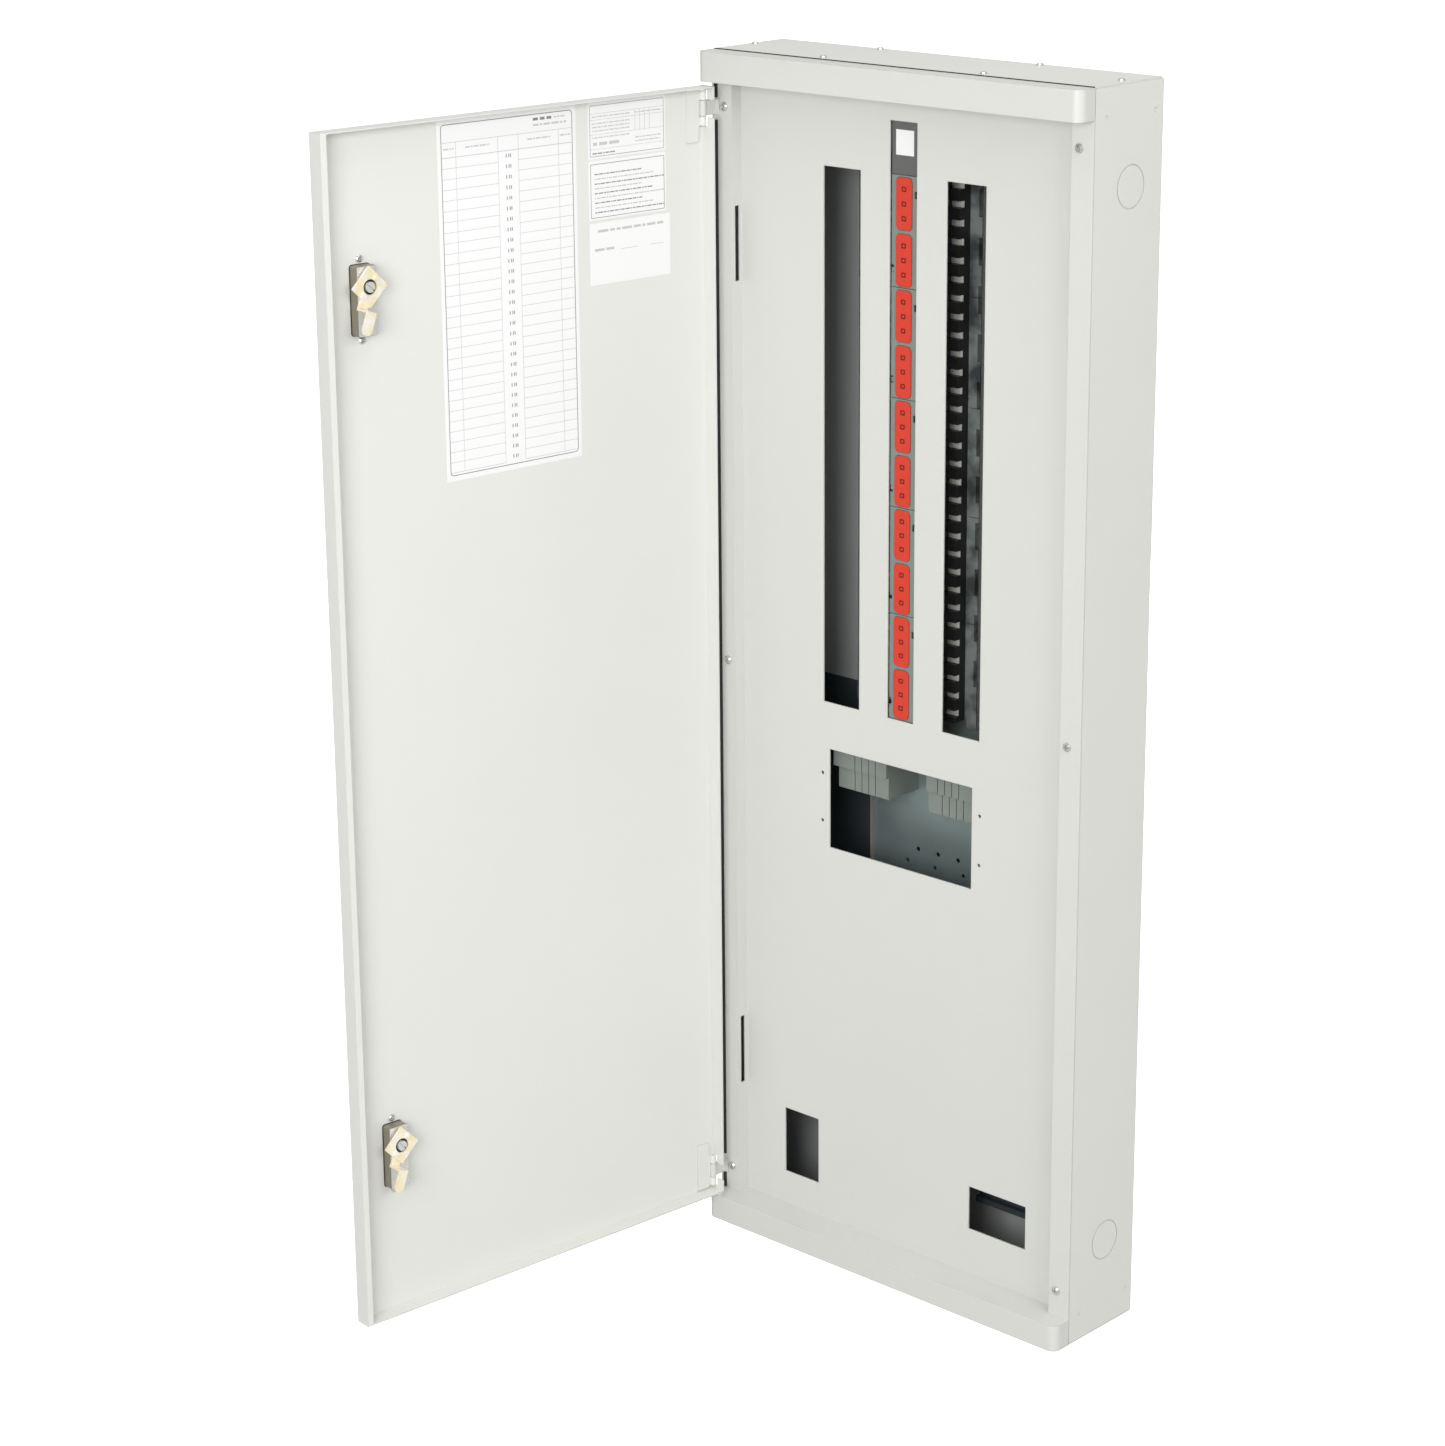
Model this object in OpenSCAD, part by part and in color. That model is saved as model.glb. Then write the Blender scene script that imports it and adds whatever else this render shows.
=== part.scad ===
// Wall-mounted three-phase distribution cabinet with its door standing open.
// +Z is up, the front faces -Y, and the back of the box lies on y = 0.
// The origin is the centre of the four wall-fixing holes in the back.

/* [Cabinet] */
// Width of the box and of the front cover
body_w = 468; // [400:1:620]
// Height over the two gland plates
body_h = 1240; // [1020:1:1600]
// Depth from the wall to the face of the cover's side strips
body_d = 103; // [85:1:150]
// Thickness of the folded sheet steel
sheet = 1.5; // [1.2:0.1:2]
// Width of the in-turned flange round the box's open front
flange_w = 23; // [20:1:24]
// Horizontal distance between the wall-fixing holes
fixing_span_x = 360; // [280:1:370]
// Vertical distance between the wall-fixing holes
fixing_span_z = 1090; // [800:1:1100]
// Radius of a wall-fixing hole
fixing_r = 4.25; // [3:0.05:6]
// Diameter of the cable knock-outs in the sides
knockout_d = 41; // [20:1:50]
// Distance of the knock-outs from the top and bottom
knockout_inset = 95.5; // [60:0.5:140]

/* [Front cover] */
// How far the header and footer stand out from the side strips
hood_d = 22; // [20:1:28]
// Height of the header
header_h = 30; // [20:1:45]
// Height of the footer
footer_h = 28; // [20:1:45]
// Outer radius of the header's and footer's upright corners
hood_r = 9; // [4:0.5:14]
// Width of the side strips that carry the cover screws
strip_w = 25.5; // [25:0.5:32]
// Depth of the panel behind the side strips
recess_d = 14; // [12:0.5:18]
// Distance of a cover screw from the side of the cabinet
screw_inset_x = 16; // [13:0.5:18]
// Distance of the outer cover screws from the top and bottom
screw_inset_z = 55.5; // [45:0.5:90]
// Length of a lock slot in the step beside the panel
lock_slot_h = 75; // [60:1:90]
// Width of a lock slot
lock_slot_w = 6; // [5:0.5:8]
// Distance of the lock slots from the top and bottom
lock_slot_inset = 153; // [130:1:170]

/* [Apertures] */
// Pitch of one breaker module
module_pitch = 18; // [15:0.1:22]
// Number of three-module ways
ways = 10; // [4:2:12]
// Distance from the cabinet's top to the first module
way_top = 103.5; // [98:0.5:130]
// Width of a breaker aperture
breaker_slot_w = 47; // [44:0.5:50]
// Distance of a breaker aperture's centre from the middle
breaker_slot_x = 77; // [76:0.5:90]
// Width of the aperture over the busbars
bus_slot_w = 33.4; // [32:0.1:40]
// How far the busbar aperture reaches above the first module
bus_slot_rise = 51; // [40:1:60]
// Width of the incomer aperture
incomer_w = 184.8; // [150:0.2:240]
// Height of the incomer aperture
incomer_h = 105; // [80:1:140]
// Gap between the breaker apertures and the incomer aperture
incomer_gap = 49; // [40:1:80]
// Length of the two small device apertures
device_slot_l = 72.5; // [50:0.5:90]
// Width of the two small device apertures
device_slot_w = 46.5; // [44:0.5:50]
// Distance of the small apertures' centres from the middle
device_slot_x = 131; // [100:1:150]
// Distance of the small apertures' centres from the bottom
device_slot_rise = 101; // [85:1:160]

/* [Busbar assembly] */
// Depth of the contact straps behind the side strips
strap_depth = 50; // [48:0.5:54]
// Depth of the base mouldings' face behind the side strips
base_depth = 60; // [60:0.5:64]
// Depth of the chassis plate's face behind the side strips
chassis_depth = 75; // [74:0.5:78]
// Half the width of the chassis plate
chassis_half_w = 85; // [80:1:100]
// Half the reach of a contact strap
strap_reach = 44; // [41:0.5:46]
// Height of a contact strap
strap_h = 6.4; // [4:0.1:8]
// Width of the shroud over the busbars
shroud_w = 31; // [29:0.5:31.5]
// Width of a red way cover
way_cover_w = 19.2; // [14:0.2:22]
// Height of a red way cover
way_cover_h = 50; // [36:0.5:50]

/* [Door] */
// Gap between the door and each side of the cabinet
door_gap_x = 2; // [1:0.5:4]
// Gap between the door and the header or footer
door_gap_z = 4; // [2:0.5:8]
// Depth of the door's folded edges
door_edge_d = 17.5; // [14:0.5:18]
// Width of the lip along the free edge
door_lip_w = 7; // [4:0.5:8]
// Angle by which the door stands open
door_open = 96; // [0:1:130]
// Radius of a hinge knuckle
knuckle_r = 3.5; // [3:0.1:5]
// Radius of a hinge pin
pin_r = 2; // [1.5:0.1:2.5]
// Distance of the knuckles' middle from the header or footer
hinge_inset = 26; // [22:1:60]
// Distance of the lock spindles from the free side of the cabinet
lock_inset_x = 50; // [46:1:70]
// Height of the upper lock spindle below the cabinet's top
upper_lock_drop = 178; // [160:1:200]
// Height of the lower lock spindle above the cabinet's bottom
lower_lock_rise = 212.5; // [200:0.5:220]
// Angle of a lock tongue from straight down towards the free edge
tongue_lean = 20; // [0:1:20]
// Reach of a lock tongue from its spindle
tongue_reach = 44; // [40:0.5:46]

/* [Hidden] */
$fn = 32;

half_w = body_w / 2;
half_h = body_h / 2;
eps = 0.1;
slack = 0.3;
running_gap = 0.05;
thread_gap = 0.02;

// Planes of the cabinet, measured from the wall
strip_y = -body_d;
hood_y = strip_y - hood_d;
panel_y = strip_y + recess_d;
box_front_y = strip_y + sheet;
box_end_z = half_h - sheet;
step_x = half_w - strip_w;
header_z = half_h - header_h;
footer_z = footer_h - half_h;
joint_gap = 0.5;

// Cover screws and gland plate screws
cover_screw_z = [-half_h + screw_inset_z, 0, half_h - screw_inset_z];
cover_screw_r = 2.5;
cover_screw_l = 10;
gland_screw_r = 2;
gland_screw_l = 8;
gland_screw_x = 98;
gland_screw_y = 9;
gland_margin = 10;
gland_hole_margin_x = 34;
gland_hole_margin_y = 17;

// Side wall marks
knockout_groove_w = 1;
knockout_groove_d = 0.6;
dimple_r = 2;
dimple_d = 0.5;
dimple_inset_z = 29;
dimple_inset_y = 11;
incomer_hole_r = 1.75;
incomer_hole_side = 9.6;
incomer_hole_span = 51;

// Ways and the places that follow them
pan_top = half_h - way_top;
pan_l = ways * 3 * module_pitch;
pan_bottom = pan_top - pan_l;
seg_l = 6 * module_pitch;
seg_gap = 0.6;
seg_count = ways / 2;
incomer_top = pan_bottom - incomer_gap;
incomer_bottom = incomer_top - incomer_h;

// Depth layers of the busbar assembly
shroud_front_y = panel_y + 1.6;
strap_y = strip_y + strap_depth;
strap_t = 1.5;
base_y = strip_y + base_depth;
chassis_y = strip_y + chassis_depth;
comb_front_y = strap_y - 6;
shroud_back_y = comb_front_y + 2;
bar_t = 5;
bar_w = 6.4;
bar_pitch = 9;
bar_y = base_y - bar_t;
comb_inner_x = shroud_w / 2 + slack;
comb_outer_x = strap_reach + 0.5;
pocket_inner_x = 30;
base_half_w = 59;
base_step_x = 47;
base_step_z = 9;
base_notch_x = 55;
base_notch_h = 27;
base_notch_pitch = 46.5;
base_notch_drop = 12;
wall = 2;
pocket_d = 1.2;
way_cover_t = 2;
way_cover_r = 4.5;
notch_w = 3;
notch_h = 7;
notch_drop = 14;
cap_l = bus_slot_rise + 8;
chassis_rise = 56;
chassis_drop = 62;
chassis_top = pan_top + chassis_rise;
chassis_bottom = incomer_bottom - chassis_drop;
chassis_flange = 10;
side_plate_x = 186;
side_plate_drop = 70;
post_x = 70;
post_r = 5;
post_screw_r = 2;
post_z = [chassis_top - 22, (chassis_top + chassis_bottom) / 2, chassis_bottom + 22];

// Breaker rails of top-hat section
rail_w = 35;
rail_floor_w = 25;
rail_d = 7.5;
rail_t = 1;
rail_y = base_y;
rail_x = base_half_w + 1 + rail_w / 2;
rail_over = 8;
rail_slot_l = 25;
rail_slot_w = 5.2;
rail_slot_pitch = 46.5;
device_rail_l = 128;
device_z = -half_h + device_slot_rise;
bracket_half = 9;

// Incomer shrouds
incomer_block_in = 26;
incomer_block_out = 96;
incomer_block_top = incomer_top + 8;
incomer_block_bottom = incomer_top - 43;
incomer_step_z = incomer_top - 20;
incomer_upper_y = panel_y + 10;
incomer_lower_y = panel_y + 14;
slit_w = 1;
slit_d = 1.5;

// Terminal bars
bar_side = 11;
bar_front_y = -40;
neutral_x = 156;
earth_x = -200;
neutral_z = [pan_bottom + 30, pan_top - 60];
earth_z = [incomer_bottom - 140, pan_bottom];
terminal_pitch = 17;
terminal_r = 3;

// Door, drawn closed and then turned about its hinge axis
door_l = -half_w + door_gap_x;
door_r = half_w - door_gap_x;
door_top = header_z - door_gap_z;
door_bottom = footer_z + door_gap_z;
door_skin_y = hood_y + sheet;
door_back_y = hood_y + door_edge_d;
hinge_off = 3;
hinge_x = door_l + hinge_off;
hinge_y = hood_y + hinge_off;
hinge_z = [header_z - hinge_inset, footer_z + hinge_inset];
frame_knuckle_l = 15.4;
door_knuckle_l = 9;
pin_l = frame_knuckle_l + 2 * (door_knuckle_l + slack);
leaf_t = 1.5;
leaf_w = 21;
leaf_h = 52;
leaf_shift = 7;
arm_t = 2;
hinge_cut = 8;

// Locks
lock_x = half_w - lock_inset_x;
lock_z = [half_h - upper_lock_drop, -half_h + lower_lock_rise];
housing_w = 21;
housing_h = 64.5;
housing_d = 12;
housing_drop = 13.7;
escutcheon_w = 28;
escutcheon_h = 94;
escutcheon_t = 4;
lock_cut_clear = 0.3;
spindle_r = 5;
cam_hole_r = 7.2;
cam_screw_r = 2.6;
cam_screw_x = 10.2;
lock_screw_r = 2;
lock_screw_span = 76;
cam_side = 28;
cam_t = 2;
cam_angle = 45;
tongue_w = 11;
tongue_t = 2;
tongue_bend_r = 21.5;
tongue_end_y = strip_y + recess_d / 2 - tongue_t / 2 + 0.5;
housing_face_y = door_skin_y + housing_d;
tongue_root_y = housing_face_y + slack;
cam_y = tongue_root_y + tongue_t;

// A box between its lowest and highest corner
module block(lo, hi) {
    translate(lo) cube(hi - lo);
}

// A flat shape in X and Z, given thickness from y0 to y1
module plate_xz(y0, y1) {
    translate([0, y1, 0])
        rotate([90, 0, 0])
            linear_extrude(y1 - y0) children();
}

// A round bar or hole along Y
module round_y(r, y0, y1) {
    translate([0, y0, 0])
        rotate([-90, 0, 0])
            cylinder(r = r, h = y1 - y0);
}

// A flat rectangle about the origin with round corners
module round_rect(w, h, r) {
    square([w - 2 * r, h], center = true);
    square([w, h - 2 * r], center = true);
    for (x = [r - w / 2, w / 2 - r], z = [r - h / 2, h / 2 - r])
        translate([x, z]) circle(r);
}

// A pan-head screw with a cross recess; its seat is z = 0 and its head points to +Z
module screw(r, l) {
    head_r = 1.8 * r;
    head_h = 1.05 * r;
    slot_w = 0.45 * r;
    difference() {
        union() {
            cylinder(r = head_r, h = head_h / 2);
            translate([0, 0, head_h / 2])
                cylinder(r1 = head_r, r2 = head_r * 0.68, h = head_h / 2);
        }
        for (turn = [0, 90])
            rotate([0, 0, turn])
                translate([-head_r * 0.55, -slot_w / 2, head_h * 0.45])
                    cube([head_r * 1.1, slot_w, head_h]);
    }
    translate([0, 0, -l]) cylinder(r = r, h = l + eps);
}

// The same screw pointing out of the front
module screw_y(r, l) {
    rotate([90, 0, 0]) screw(r, l);
}

// Where the six screws of a gland plate stand
module at_gland_screws() {
    for (x = [-gland_screw_x, gland_screw_x], y = [box_front_y + gland_screw_y, -gland_screw_y])
        translate([x, y, 0]) children();
    for (side = [-1, 1])
        translate([side * (half_w - gland_margin), box_front_y / 2, 0]) children();
}

module at_cover_screws() {
    for (side = [-1, 1], z = cover_screw_z)
        translate([side * (half_w - screw_inset_x), 0, z]) children();
}

module at_fixings() {
    for (x = [-0.5, 0.5], z = [-0.5, 0.5])
        translate([x * fixing_span_x, 0, z * fixing_span_z]) children();
}

module at_posts() {
    for (side = [-1, 1], z = post_z)
        translate([side * post_x, 0, z]) children();
}

// A ring groove and rivet dimples that mark one side wall
module side_marks(side) {
    for (end = [-1, 1]) {
        translate([side * half_w, strip_y / 2 + 5, end * (half_h - knockout_inset)])
            rotate([0, 90, 0])
                difference() {
                    cylinder(d = knockout_d, h = 2 * knockout_groove_d, center = true, $fn = 64);
                    cylinder(d = knockout_d - 2 * knockout_groove_w, h = 4, center = true, $fn = 64);
                }
        for (y = [-dimple_inset_y, box_front_y + dimple_inset_y + 6])
            translate([side * half_w, y, end * (half_h - dimple_inset_z)])
                rotate([0, 90, 0])
                    cylinder(r = dimple_r, h = 2 * dimple_d, center = true);
    }
}

module back_box() {
    color("gainsboro") difference() {
        block([-half_w, box_front_y, -box_end_z], [half_w, 0, box_end_z]);
        block([-half_w + sheet, box_front_y + sheet, -box_end_z + sheet],
              [half_w - sheet, -sheet, box_end_z - sheet]);
        block([-half_w + flange_w, box_front_y - eps, -box_end_z + flange_w],
              [half_w - flange_w, box_front_y + sheet + eps, box_end_z - flange_w]);
        block([-half_w + gland_hole_margin_x, box_front_y + gland_hole_margin_y, -half_h],
              [half_w - gland_hole_margin_x, -gland_hole_margin_y, half_h]);
        at_fixings() round_y(fixing_r, -2 * sheet, eps);
        at_posts() round_y(post_screw_r + thread_gap, -2 * sheet, eps);
        at_cover_screws() round_y(cover_screw_r + thread_gap, box_front_y - eps, box_front_y + 2 * sheet);
        at_gland_screws() cylinder(r = gland_screw_r + thread_gap, h = body_h, center = true);
        for (side = [-1, 1])
            side_marks(side);
    }
}

// Plan of the header and footer with round front corners, drawn in by an inset
module hood_plan(inset) {
    r = hood_r - inset;
    x = half_w - inset;
    back_y = box_front_y - joint_gap;
    translate([-x, hood_y + hood_r]) square([2 * x, back_y - hood_y - hood_r]);
    translate([r - x, hood_y + inset]) square([2 * (x - r), r]);
    for (side = [-1, 1])
        translate([side * (x - r), hood_y + hood_r]) circle(r);
}

// One hood from z0 to z1: an upright wall with a plate across each end
module hood(z0, z1) {
    difference() {
        translate([0, 0, z0]) linear_extrude(z1 - z0) hood_plan(0);
        translate([0, 0, z0 + sheet])
            linear_extrude(z1 - z0 - 2 * sheet) {
                hood_plan(sheet);
                translate([sheet - half_w, hood_y + hood_r]) square([body_w - 2 * sheet, hood_d]);
            }
    }
}

// An aperture in the panel about a centre
module aperture(x, z, w, h) {
    block([x - w / 2, panel_y - eps, z - h / 2], [x + w / 2, panel_y + sheet + eps, z + h / 2]);
}

module panel_apertures() {
    way_mid = (pan_top + pan_bottom) / 2;
    for (side = [-1, 1])
        aperture(side * breaker_slot_x, way_mid, breaker_slot_w, pan_l);
    aperture(0, way_mid + bus_slot_rise / 2, bus_slot_w, pan_l + bus_slot_rise);
    aperture(0, (incomer_top + incomer_bottom) / 2, incomer_w, incomer_h);
    aperture(-device_slot_x, device_z, device_slot_w, device_slot_l);
    aperture(device_slot_x, device_z, device_slot_l, device_slot_w);
    for (side = [-1, 1], end = [-0.5, 0.5])
        translate([side * (incomer_w / 2 + incomer_hole_side), 0,
                   (incomer_top + incomer_bottom) / 2 + end * incomer_hole_span])
            round_y(incomer_hole_r, panel_y - eps, panel_y + sheet + eps);
}

module front_cover() {
    color("gainsboro") difference() {
        union() {
            hood(header_z, half_h - joint_gap);
            hood(-half_h + joint_gap, footer_z);
            block([-step_x - sheet, strip_y, header_z], [step_x + sheet, panel_y + sheet, header_z + sheet]);
            block([-step_x - sheet, strip_y, footer_z - sheet], [step_x + sheet, panel_y + sheet, footer_z]);
            block([-step_x - sheet, panel_y, footer_z - sheet], [step_x + sheet, panel_y + sheet, header_z + sheet]);
            for (side = [0, 1]) mirror([side, 0, 0]) {
                block([step_x, strip_y, footer_z - sheet], [half_w, strip_y + sheet, header_z + sheet]);
                block([step_x, strip_y, footer_z - sheet], [step_x + sheet, panel_y + sheet, header_z + sheet]);
            }
        }
        panel_apertures();
        at_cover_screws() round_y(cover_screw_r + slack, strip_y - eps, strip_y + sheet + eps);
        for (side = [0, 1], end = [0, 1]) mirror([side, 0, 0]) mirror([0, 0, end])
            block([step_x - eps, strip_y + (recess_d - lock_slot_w) / 2 + 0.5, half_h - lock_slot_inset - lock_slot_h],
                  [step_x + sheet + eps, strip_y + (recess_d + lock_slot_w) / 2 + 0.5, half_h - lock_slot_inset]);
    }
}

module gland_plate() {
    difference() {
        block([1 - half_w, box_front_y + 1, box_end_z], [half_w - 1, -1, half_h]);
        at_gland_screws() cylinder(r = gland_screw_r + slack, h = body_h);
    }
}

module top_gland_plate() {
    color("gainsboro") gland_plate();
}

module bottom_gland_plate() {
    color("gainsboro") mirror([0, 0, 1]) gland_plate();
}

module gland_plate_screws() {
    color("silver") for (end = [0, 1]) mirror([0, 0, end])
        at_gland_screws() translate([0, 0, half_h]) screw(gland_screw_r, gland_screw_l);
}

module cover_screws() {
    color("silver") at_cover_screws() translate([0, strip_y, 0]) screw_y(cover_screw_r, cover_screw_l);
}

// Galvanised tray that carries the busbar assembly
module chassis_plate() {
    hole_z = incomer_bottom - 2.5;
    color("slategray") difference() {
        union() {
            block([-chassis_half_w, chassis_y, chassis_bottom], [chassis_half_w, chassis_y + sheet, chassis_top]);
            for (side = [0, 1]) mirror([side, 0, 0])
                block([chassis_half_w - sheet, chassis_y, chassis_bottom],
                      [chassis_half_w, chassis_y + chassis_flange, chassis_top]);
        }
        at_posts() round_y(post_screw_r + slack, chassis_y - eps, chassis_y + sheet + eps);
        for (x = [-26, 0, 26])
            translate([x, 0, hole_z]) round_y(2.4, chassis_y - eps, chassis_y + sheet + eps);
        for (x = [-40, -4, 33])
            translate([x, 0, hole_z - 15]) round_y(2, chassis_y - eps, chassis_y + sheet + eps);
    }
}

module chassis_standoffs() {
    color("silver") at_posts() difference() {
        round_y(post_r, chassis_y + sheet, -sheet);
        round_y(post_screw_r + thread_gap, chassis_y, eps);
    }
}

module chassis_screws() {
    color("silver") at_posts() translate([0, chassis_y, 0]) screw_y(post_screw_r, 14);
}

// Dark plate on the back wall to the left of the incomer
module side_mounting_plate() {
    color("dimgray")
        block([-side_plate_x, -2 * sheet, incomer_bottom - side_plate_drop],
              [-chassis_half_w - 3, -sheet, pan_bottom - 4]);
}

// One base moulding, whose ends are stepped so that it locks into the next one
module base_segment(top) {
    bottom = top - seg_l + seg_gap;
    plate_xz(base_y, chassis_y) polygon([
        [-base_half_w, top - base_step_z], [-base_step_x, top - base_step_z],
        [-base_step_x, top], [base_step_x, top],
        [base_step_x, top - base_step_z], [base_half_w, top - base_step_z],
        [base_half_w, bottom - base_step_z], [base_step_x, bottom - base_step_z],
        [base_step_x, bottom], [-base_step_x, bottom],
        [-base_step_x, bottom - base_step_z], [-base_half_w, bottom - base_step_z]]);
}

module base_mouldings() {
    color("dimgray") difference() {
        for (i = [0 : seg_count - 1])
            base_segment(pan_top - i * seg_l);
        for (side = [0, 1], z = [pan_top - base_notch_drop : -base_notch_pitch : pan_bottom + base_notch_h])
            mirror([side, 0, 0])
                block([base_notch_x, base_y - eps, z - base_notch_h], [base_half_w + eps, chassis_y + eps, z]);
    }
}

module phase_bar(i) {
    x = (i - 2) * bar_pitch;
    color("peru") block([x - bar_w / 2, bar_y, pan_bottom - 45], [x + bar_w / 2, base_y, pan_top]);
}

// Cross straps of one phase, each with a boss that meets its own bar
module contact_straps(i) {
    color("lightgray") for (k = [0 : ways - 1])
        translate([0, 0, pan_top - (3 * k + i - 0.5) * module_pitch]) {
            block([-strap_reach, strap_y, -strap_h / 2], [strap_reach, strap_y + strap_t, strap_h / 2]);
            translate([(i - 2) * bar_pitch, 0, 0]) round_y(2.4, strap_y + strap_t - eps, bar_y);
        }
}

// Black comb that separates the contact fingers on the right-hand side
module finger_comb() {
    clear_h = strap_h / 2 + 0.2;
    color("black") difference() {
        block([comb_inner_x, comb_front_y, pan_bottom], [comb_outer_x, base_y, pan_top]);
        for (k = [0 : 3 * ways - 1])
            translate([0, 0, pan_top - (k + 0.5) * module_pitch]) {
                block([comb_inner_x - eps, strap_y - 0.2, -clear_h],
                      [comb_outer_x + eps, strap_y + strap_t + 0.2, clear_h]);
                block([pocket_inner_x, comb_front_y - eps, -clear_h],
                      [comb_outer_x + eps, strap_y, clear_h]);
            }
    }
}

module finger_combs() {
    for (side = [0, 1]) mirror([side, 0, 0]) finger_comb();
}

// Perforated upright top-hat rail of length l, whose top is z = 0 and whose front is y = 0
module top_hat_rail(l) {
    floor_half = rail_floor_w / 2;
    slots = floor(l / rail_slot_pitch);
    color("silver") difference() {
        union() {
            block([-floor_half, rail_d - rail_t, -l], [floor_half, rail_d, 0]);
            for (side = [0, 1]) mirror([side, 0, 0]) {
                block([floor_half - rail_t, 0, -l], [floor_half, rail_d, 0]);
                block([floor_half - rail_t, 0, -l], [rail_w / 2, rail_t, 0]);
            }
        }
        for (i = [0.5 : slots])
            translate([0, 0, i * rail_slot_pitch - (l + slots * rail_slot_pitch) / 2])
                block([-rail_slot_w / 2, rail_d - 2 * rail_t, -rail_slot_l / 2],
                      [rail_slot_w / 2, rail_d + eps, rail_slot_l / 2]);
    }
}

// The rails that the breakers clip to
module breaker_rails() {
    for (side = [-1, 1])
        translate([side * rail_x, rail_y, pan_top + rail_over]) top_hat_rail(pan_l + 2 * rail_over);
}

// The short rails behind the two small apertures: one upright, one level
module device_rails() {
    translate([-device_slot_x, rail_y, device_z + device_rail_l / 2]) top_hat_rail(device_rail_l);
    translate([device_slot_x + device_rail_l / 2, rail_y, device_z])
        rotate([0, 90, 0]) top_hat_rail(device_rail_l);
}

module device_rail_brackets() {
    color("dimgray") for (end = [-1, 1]) {
        shift = end * (device_rail_l / 2 - bracket_half);
        translate([-device_slot_x, 0, device_z + shift])
            block([-bracket_half, rail_y + rail_d, -bracket_half], [bracket_half, -sheet, bracket_half]);
        translate([device_slot_x + shift, 0, device_z])
            block([-bracket_half, rail_y + rail_d, -bracket_half], [bracket_half, -sheet, bracket_half]);
    }
}

module rail_spacers() {
    color("dimgray") for (side = [-1, 1], z = [pan_top - 15, (pan_top + pan_bottom) / 2, pan_bottom + 15])
        translate([side * rail_x, 0, z])
            block([-6, rail_y + rail_d, -10], [6, chassis_y, 10]);
}

// Hollow cover over the busbars, open at the back
module shroud_shell(top, bottom) {
    half = shroud_w / 2;
    difference() {
        block([-half, shroud_front_y, bottom], [half, shroud_back_y, top]);
        block([wall - half, shroud_front_y + wall, bottom - eps], [half - wall, shroud_back_y + eps, top + eps]);
    }
}

// The middle of way number n
function way_z(n) = pan_top - (n - 0.5) * 3 * module_pitch;

module shroud(i) {
    top = pan_top - (i - 1) * seg_l;
    bottom = top - seg_l + seg_gap;
    half = shroud_w / 2;
    color("darkgray") difference() {
        shroud_shell(top, bottom);
        for (n = [2 * i - 1, 2 * i])
            translate([0, 0, way_z(n)])
                plate_xz(shroud_front_y - eps, shroud_front_y + pocket_d)
                    round_rect(way_cover_w + slack, min(way_cover_h, 3 * module_pitch - 3) + slack, way_cover_r);
        block([half - notch_w, shroud_front_y - eps, top - notch_drop - notch_h],
              [half + eps, shroud_front_y + 3 * wall, top - notch_drop]);
        block([-half - eps, shroud_front_y - eps, bottom + notch_drop],
              [notch_w - half, shroud_front_y + 3 * wall, bottom + notch_drop + notch_h]);
    }
}

// Snap-in red cover of one way, with three shallow square frames
module way_cover(n) {
    h = min(way_cover_h, 3 * module_pitch - 3);
    front = shroud_front_y + pocket_d - way_cover_t;
    color("orangered") translate([0, 0, way_z(n)]) difference() {
        plate_xz(front, front + way_cover_t) round_rect(way_cover_w, h, way_cover_r);
        for (k = [-1, 0, 1])
            translate([0, 0, k * h * 0.28])
                plate_xz(front - eps, front + 0.4) difference() {
                    square([5.6, 4.8], center = true);
                    square([4.4, 3.6], center = true);
                }
    }
}

module busbar_end_cap() {
    half = shroud_w / 2;
    color("dimgray") union() {
        shroud_shell(pan_top + cap_l, pan_top + seg_gap);
        block([-half, shroud_front_y, pan_top + cap_l - wall], [half, shroud_back_y, pan_top + cap_l]);
        for (side = [0, 1]) mirror([side, 0, 0])
            block([half - wall, shroud_back_y - eps, pan_top + seg_gap],
                  [half, chassis_y, pan_top + cap_l - chassis_rise / 2]);
    }
}

module cap_label() {
    color("white") translate([0.5, 0, pan_top + bus_slot_rise - 20])
        block([-11, shroud_front_y - 0.3, -12], [11, shroud_front_y, 12]);
}

// Stepped grey moulding beside the incomer terminals
module incomer_shroud() {
    color("darkgray") difference() {
        union() {
            block([incomer_block_in, incomer_upper_y, incomer_step_z],
                  [incomer_block_out, chassis_y, incomer_block_top]);
            block([incomer_block_in, incomer_lower_y, incomer_block_bottom],
                  [incomer_block_out - 4, chassis_y, incomer_step_z + eps]);
        }
        for (i = [0 : 3])
            translate([incomer_block_in + 14 + 9 * i, 0, 0]) {
                block([0, incomer_upper_y - eps, incomer_step_z], [slit_w, incomer_upper_y + slit_d, incomer_block_top + eps]);
                block([3, incomer_lower_y - eps, incomer_block_bottom - eps],
                      [3 + slit_w, incomer_lower_y + slit_d, incomer_step_z]);
            }
    }
}

module incomer_shroud_right() {
    incomer_shroud();
}

module incomer_shroud_left() {
    mirror([1, 0, 0]) incomer_shroud();
}

// Square terminal bar with a row of threaded holes in its front
module terminal_bar(x, z) {
    count = floor((z[1] - z[0]) / terminal_pitch);
    difference() {
        block([x - bar_side / 2, bar_front_y, z[0]], [x + bar_side / 2, bar_front_y + bar_side, z[1]]);
        for (k = [0 : count - 1])
            translate([x, 0, z[0] + (k + 0.5) * terminal_pitch])
                round_y(terminal_r + thread_gap, bar_front_y - eps, bar_front_y + bar_side * 0.6);
    }
}

module neutral_bar() {
    color("goldenrod") terminal_bar(neutral_x, neutral_z);
}

module earth_bar() {
    color("goldenrod") terminal_bar(earth_x, earth_z);
}

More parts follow.
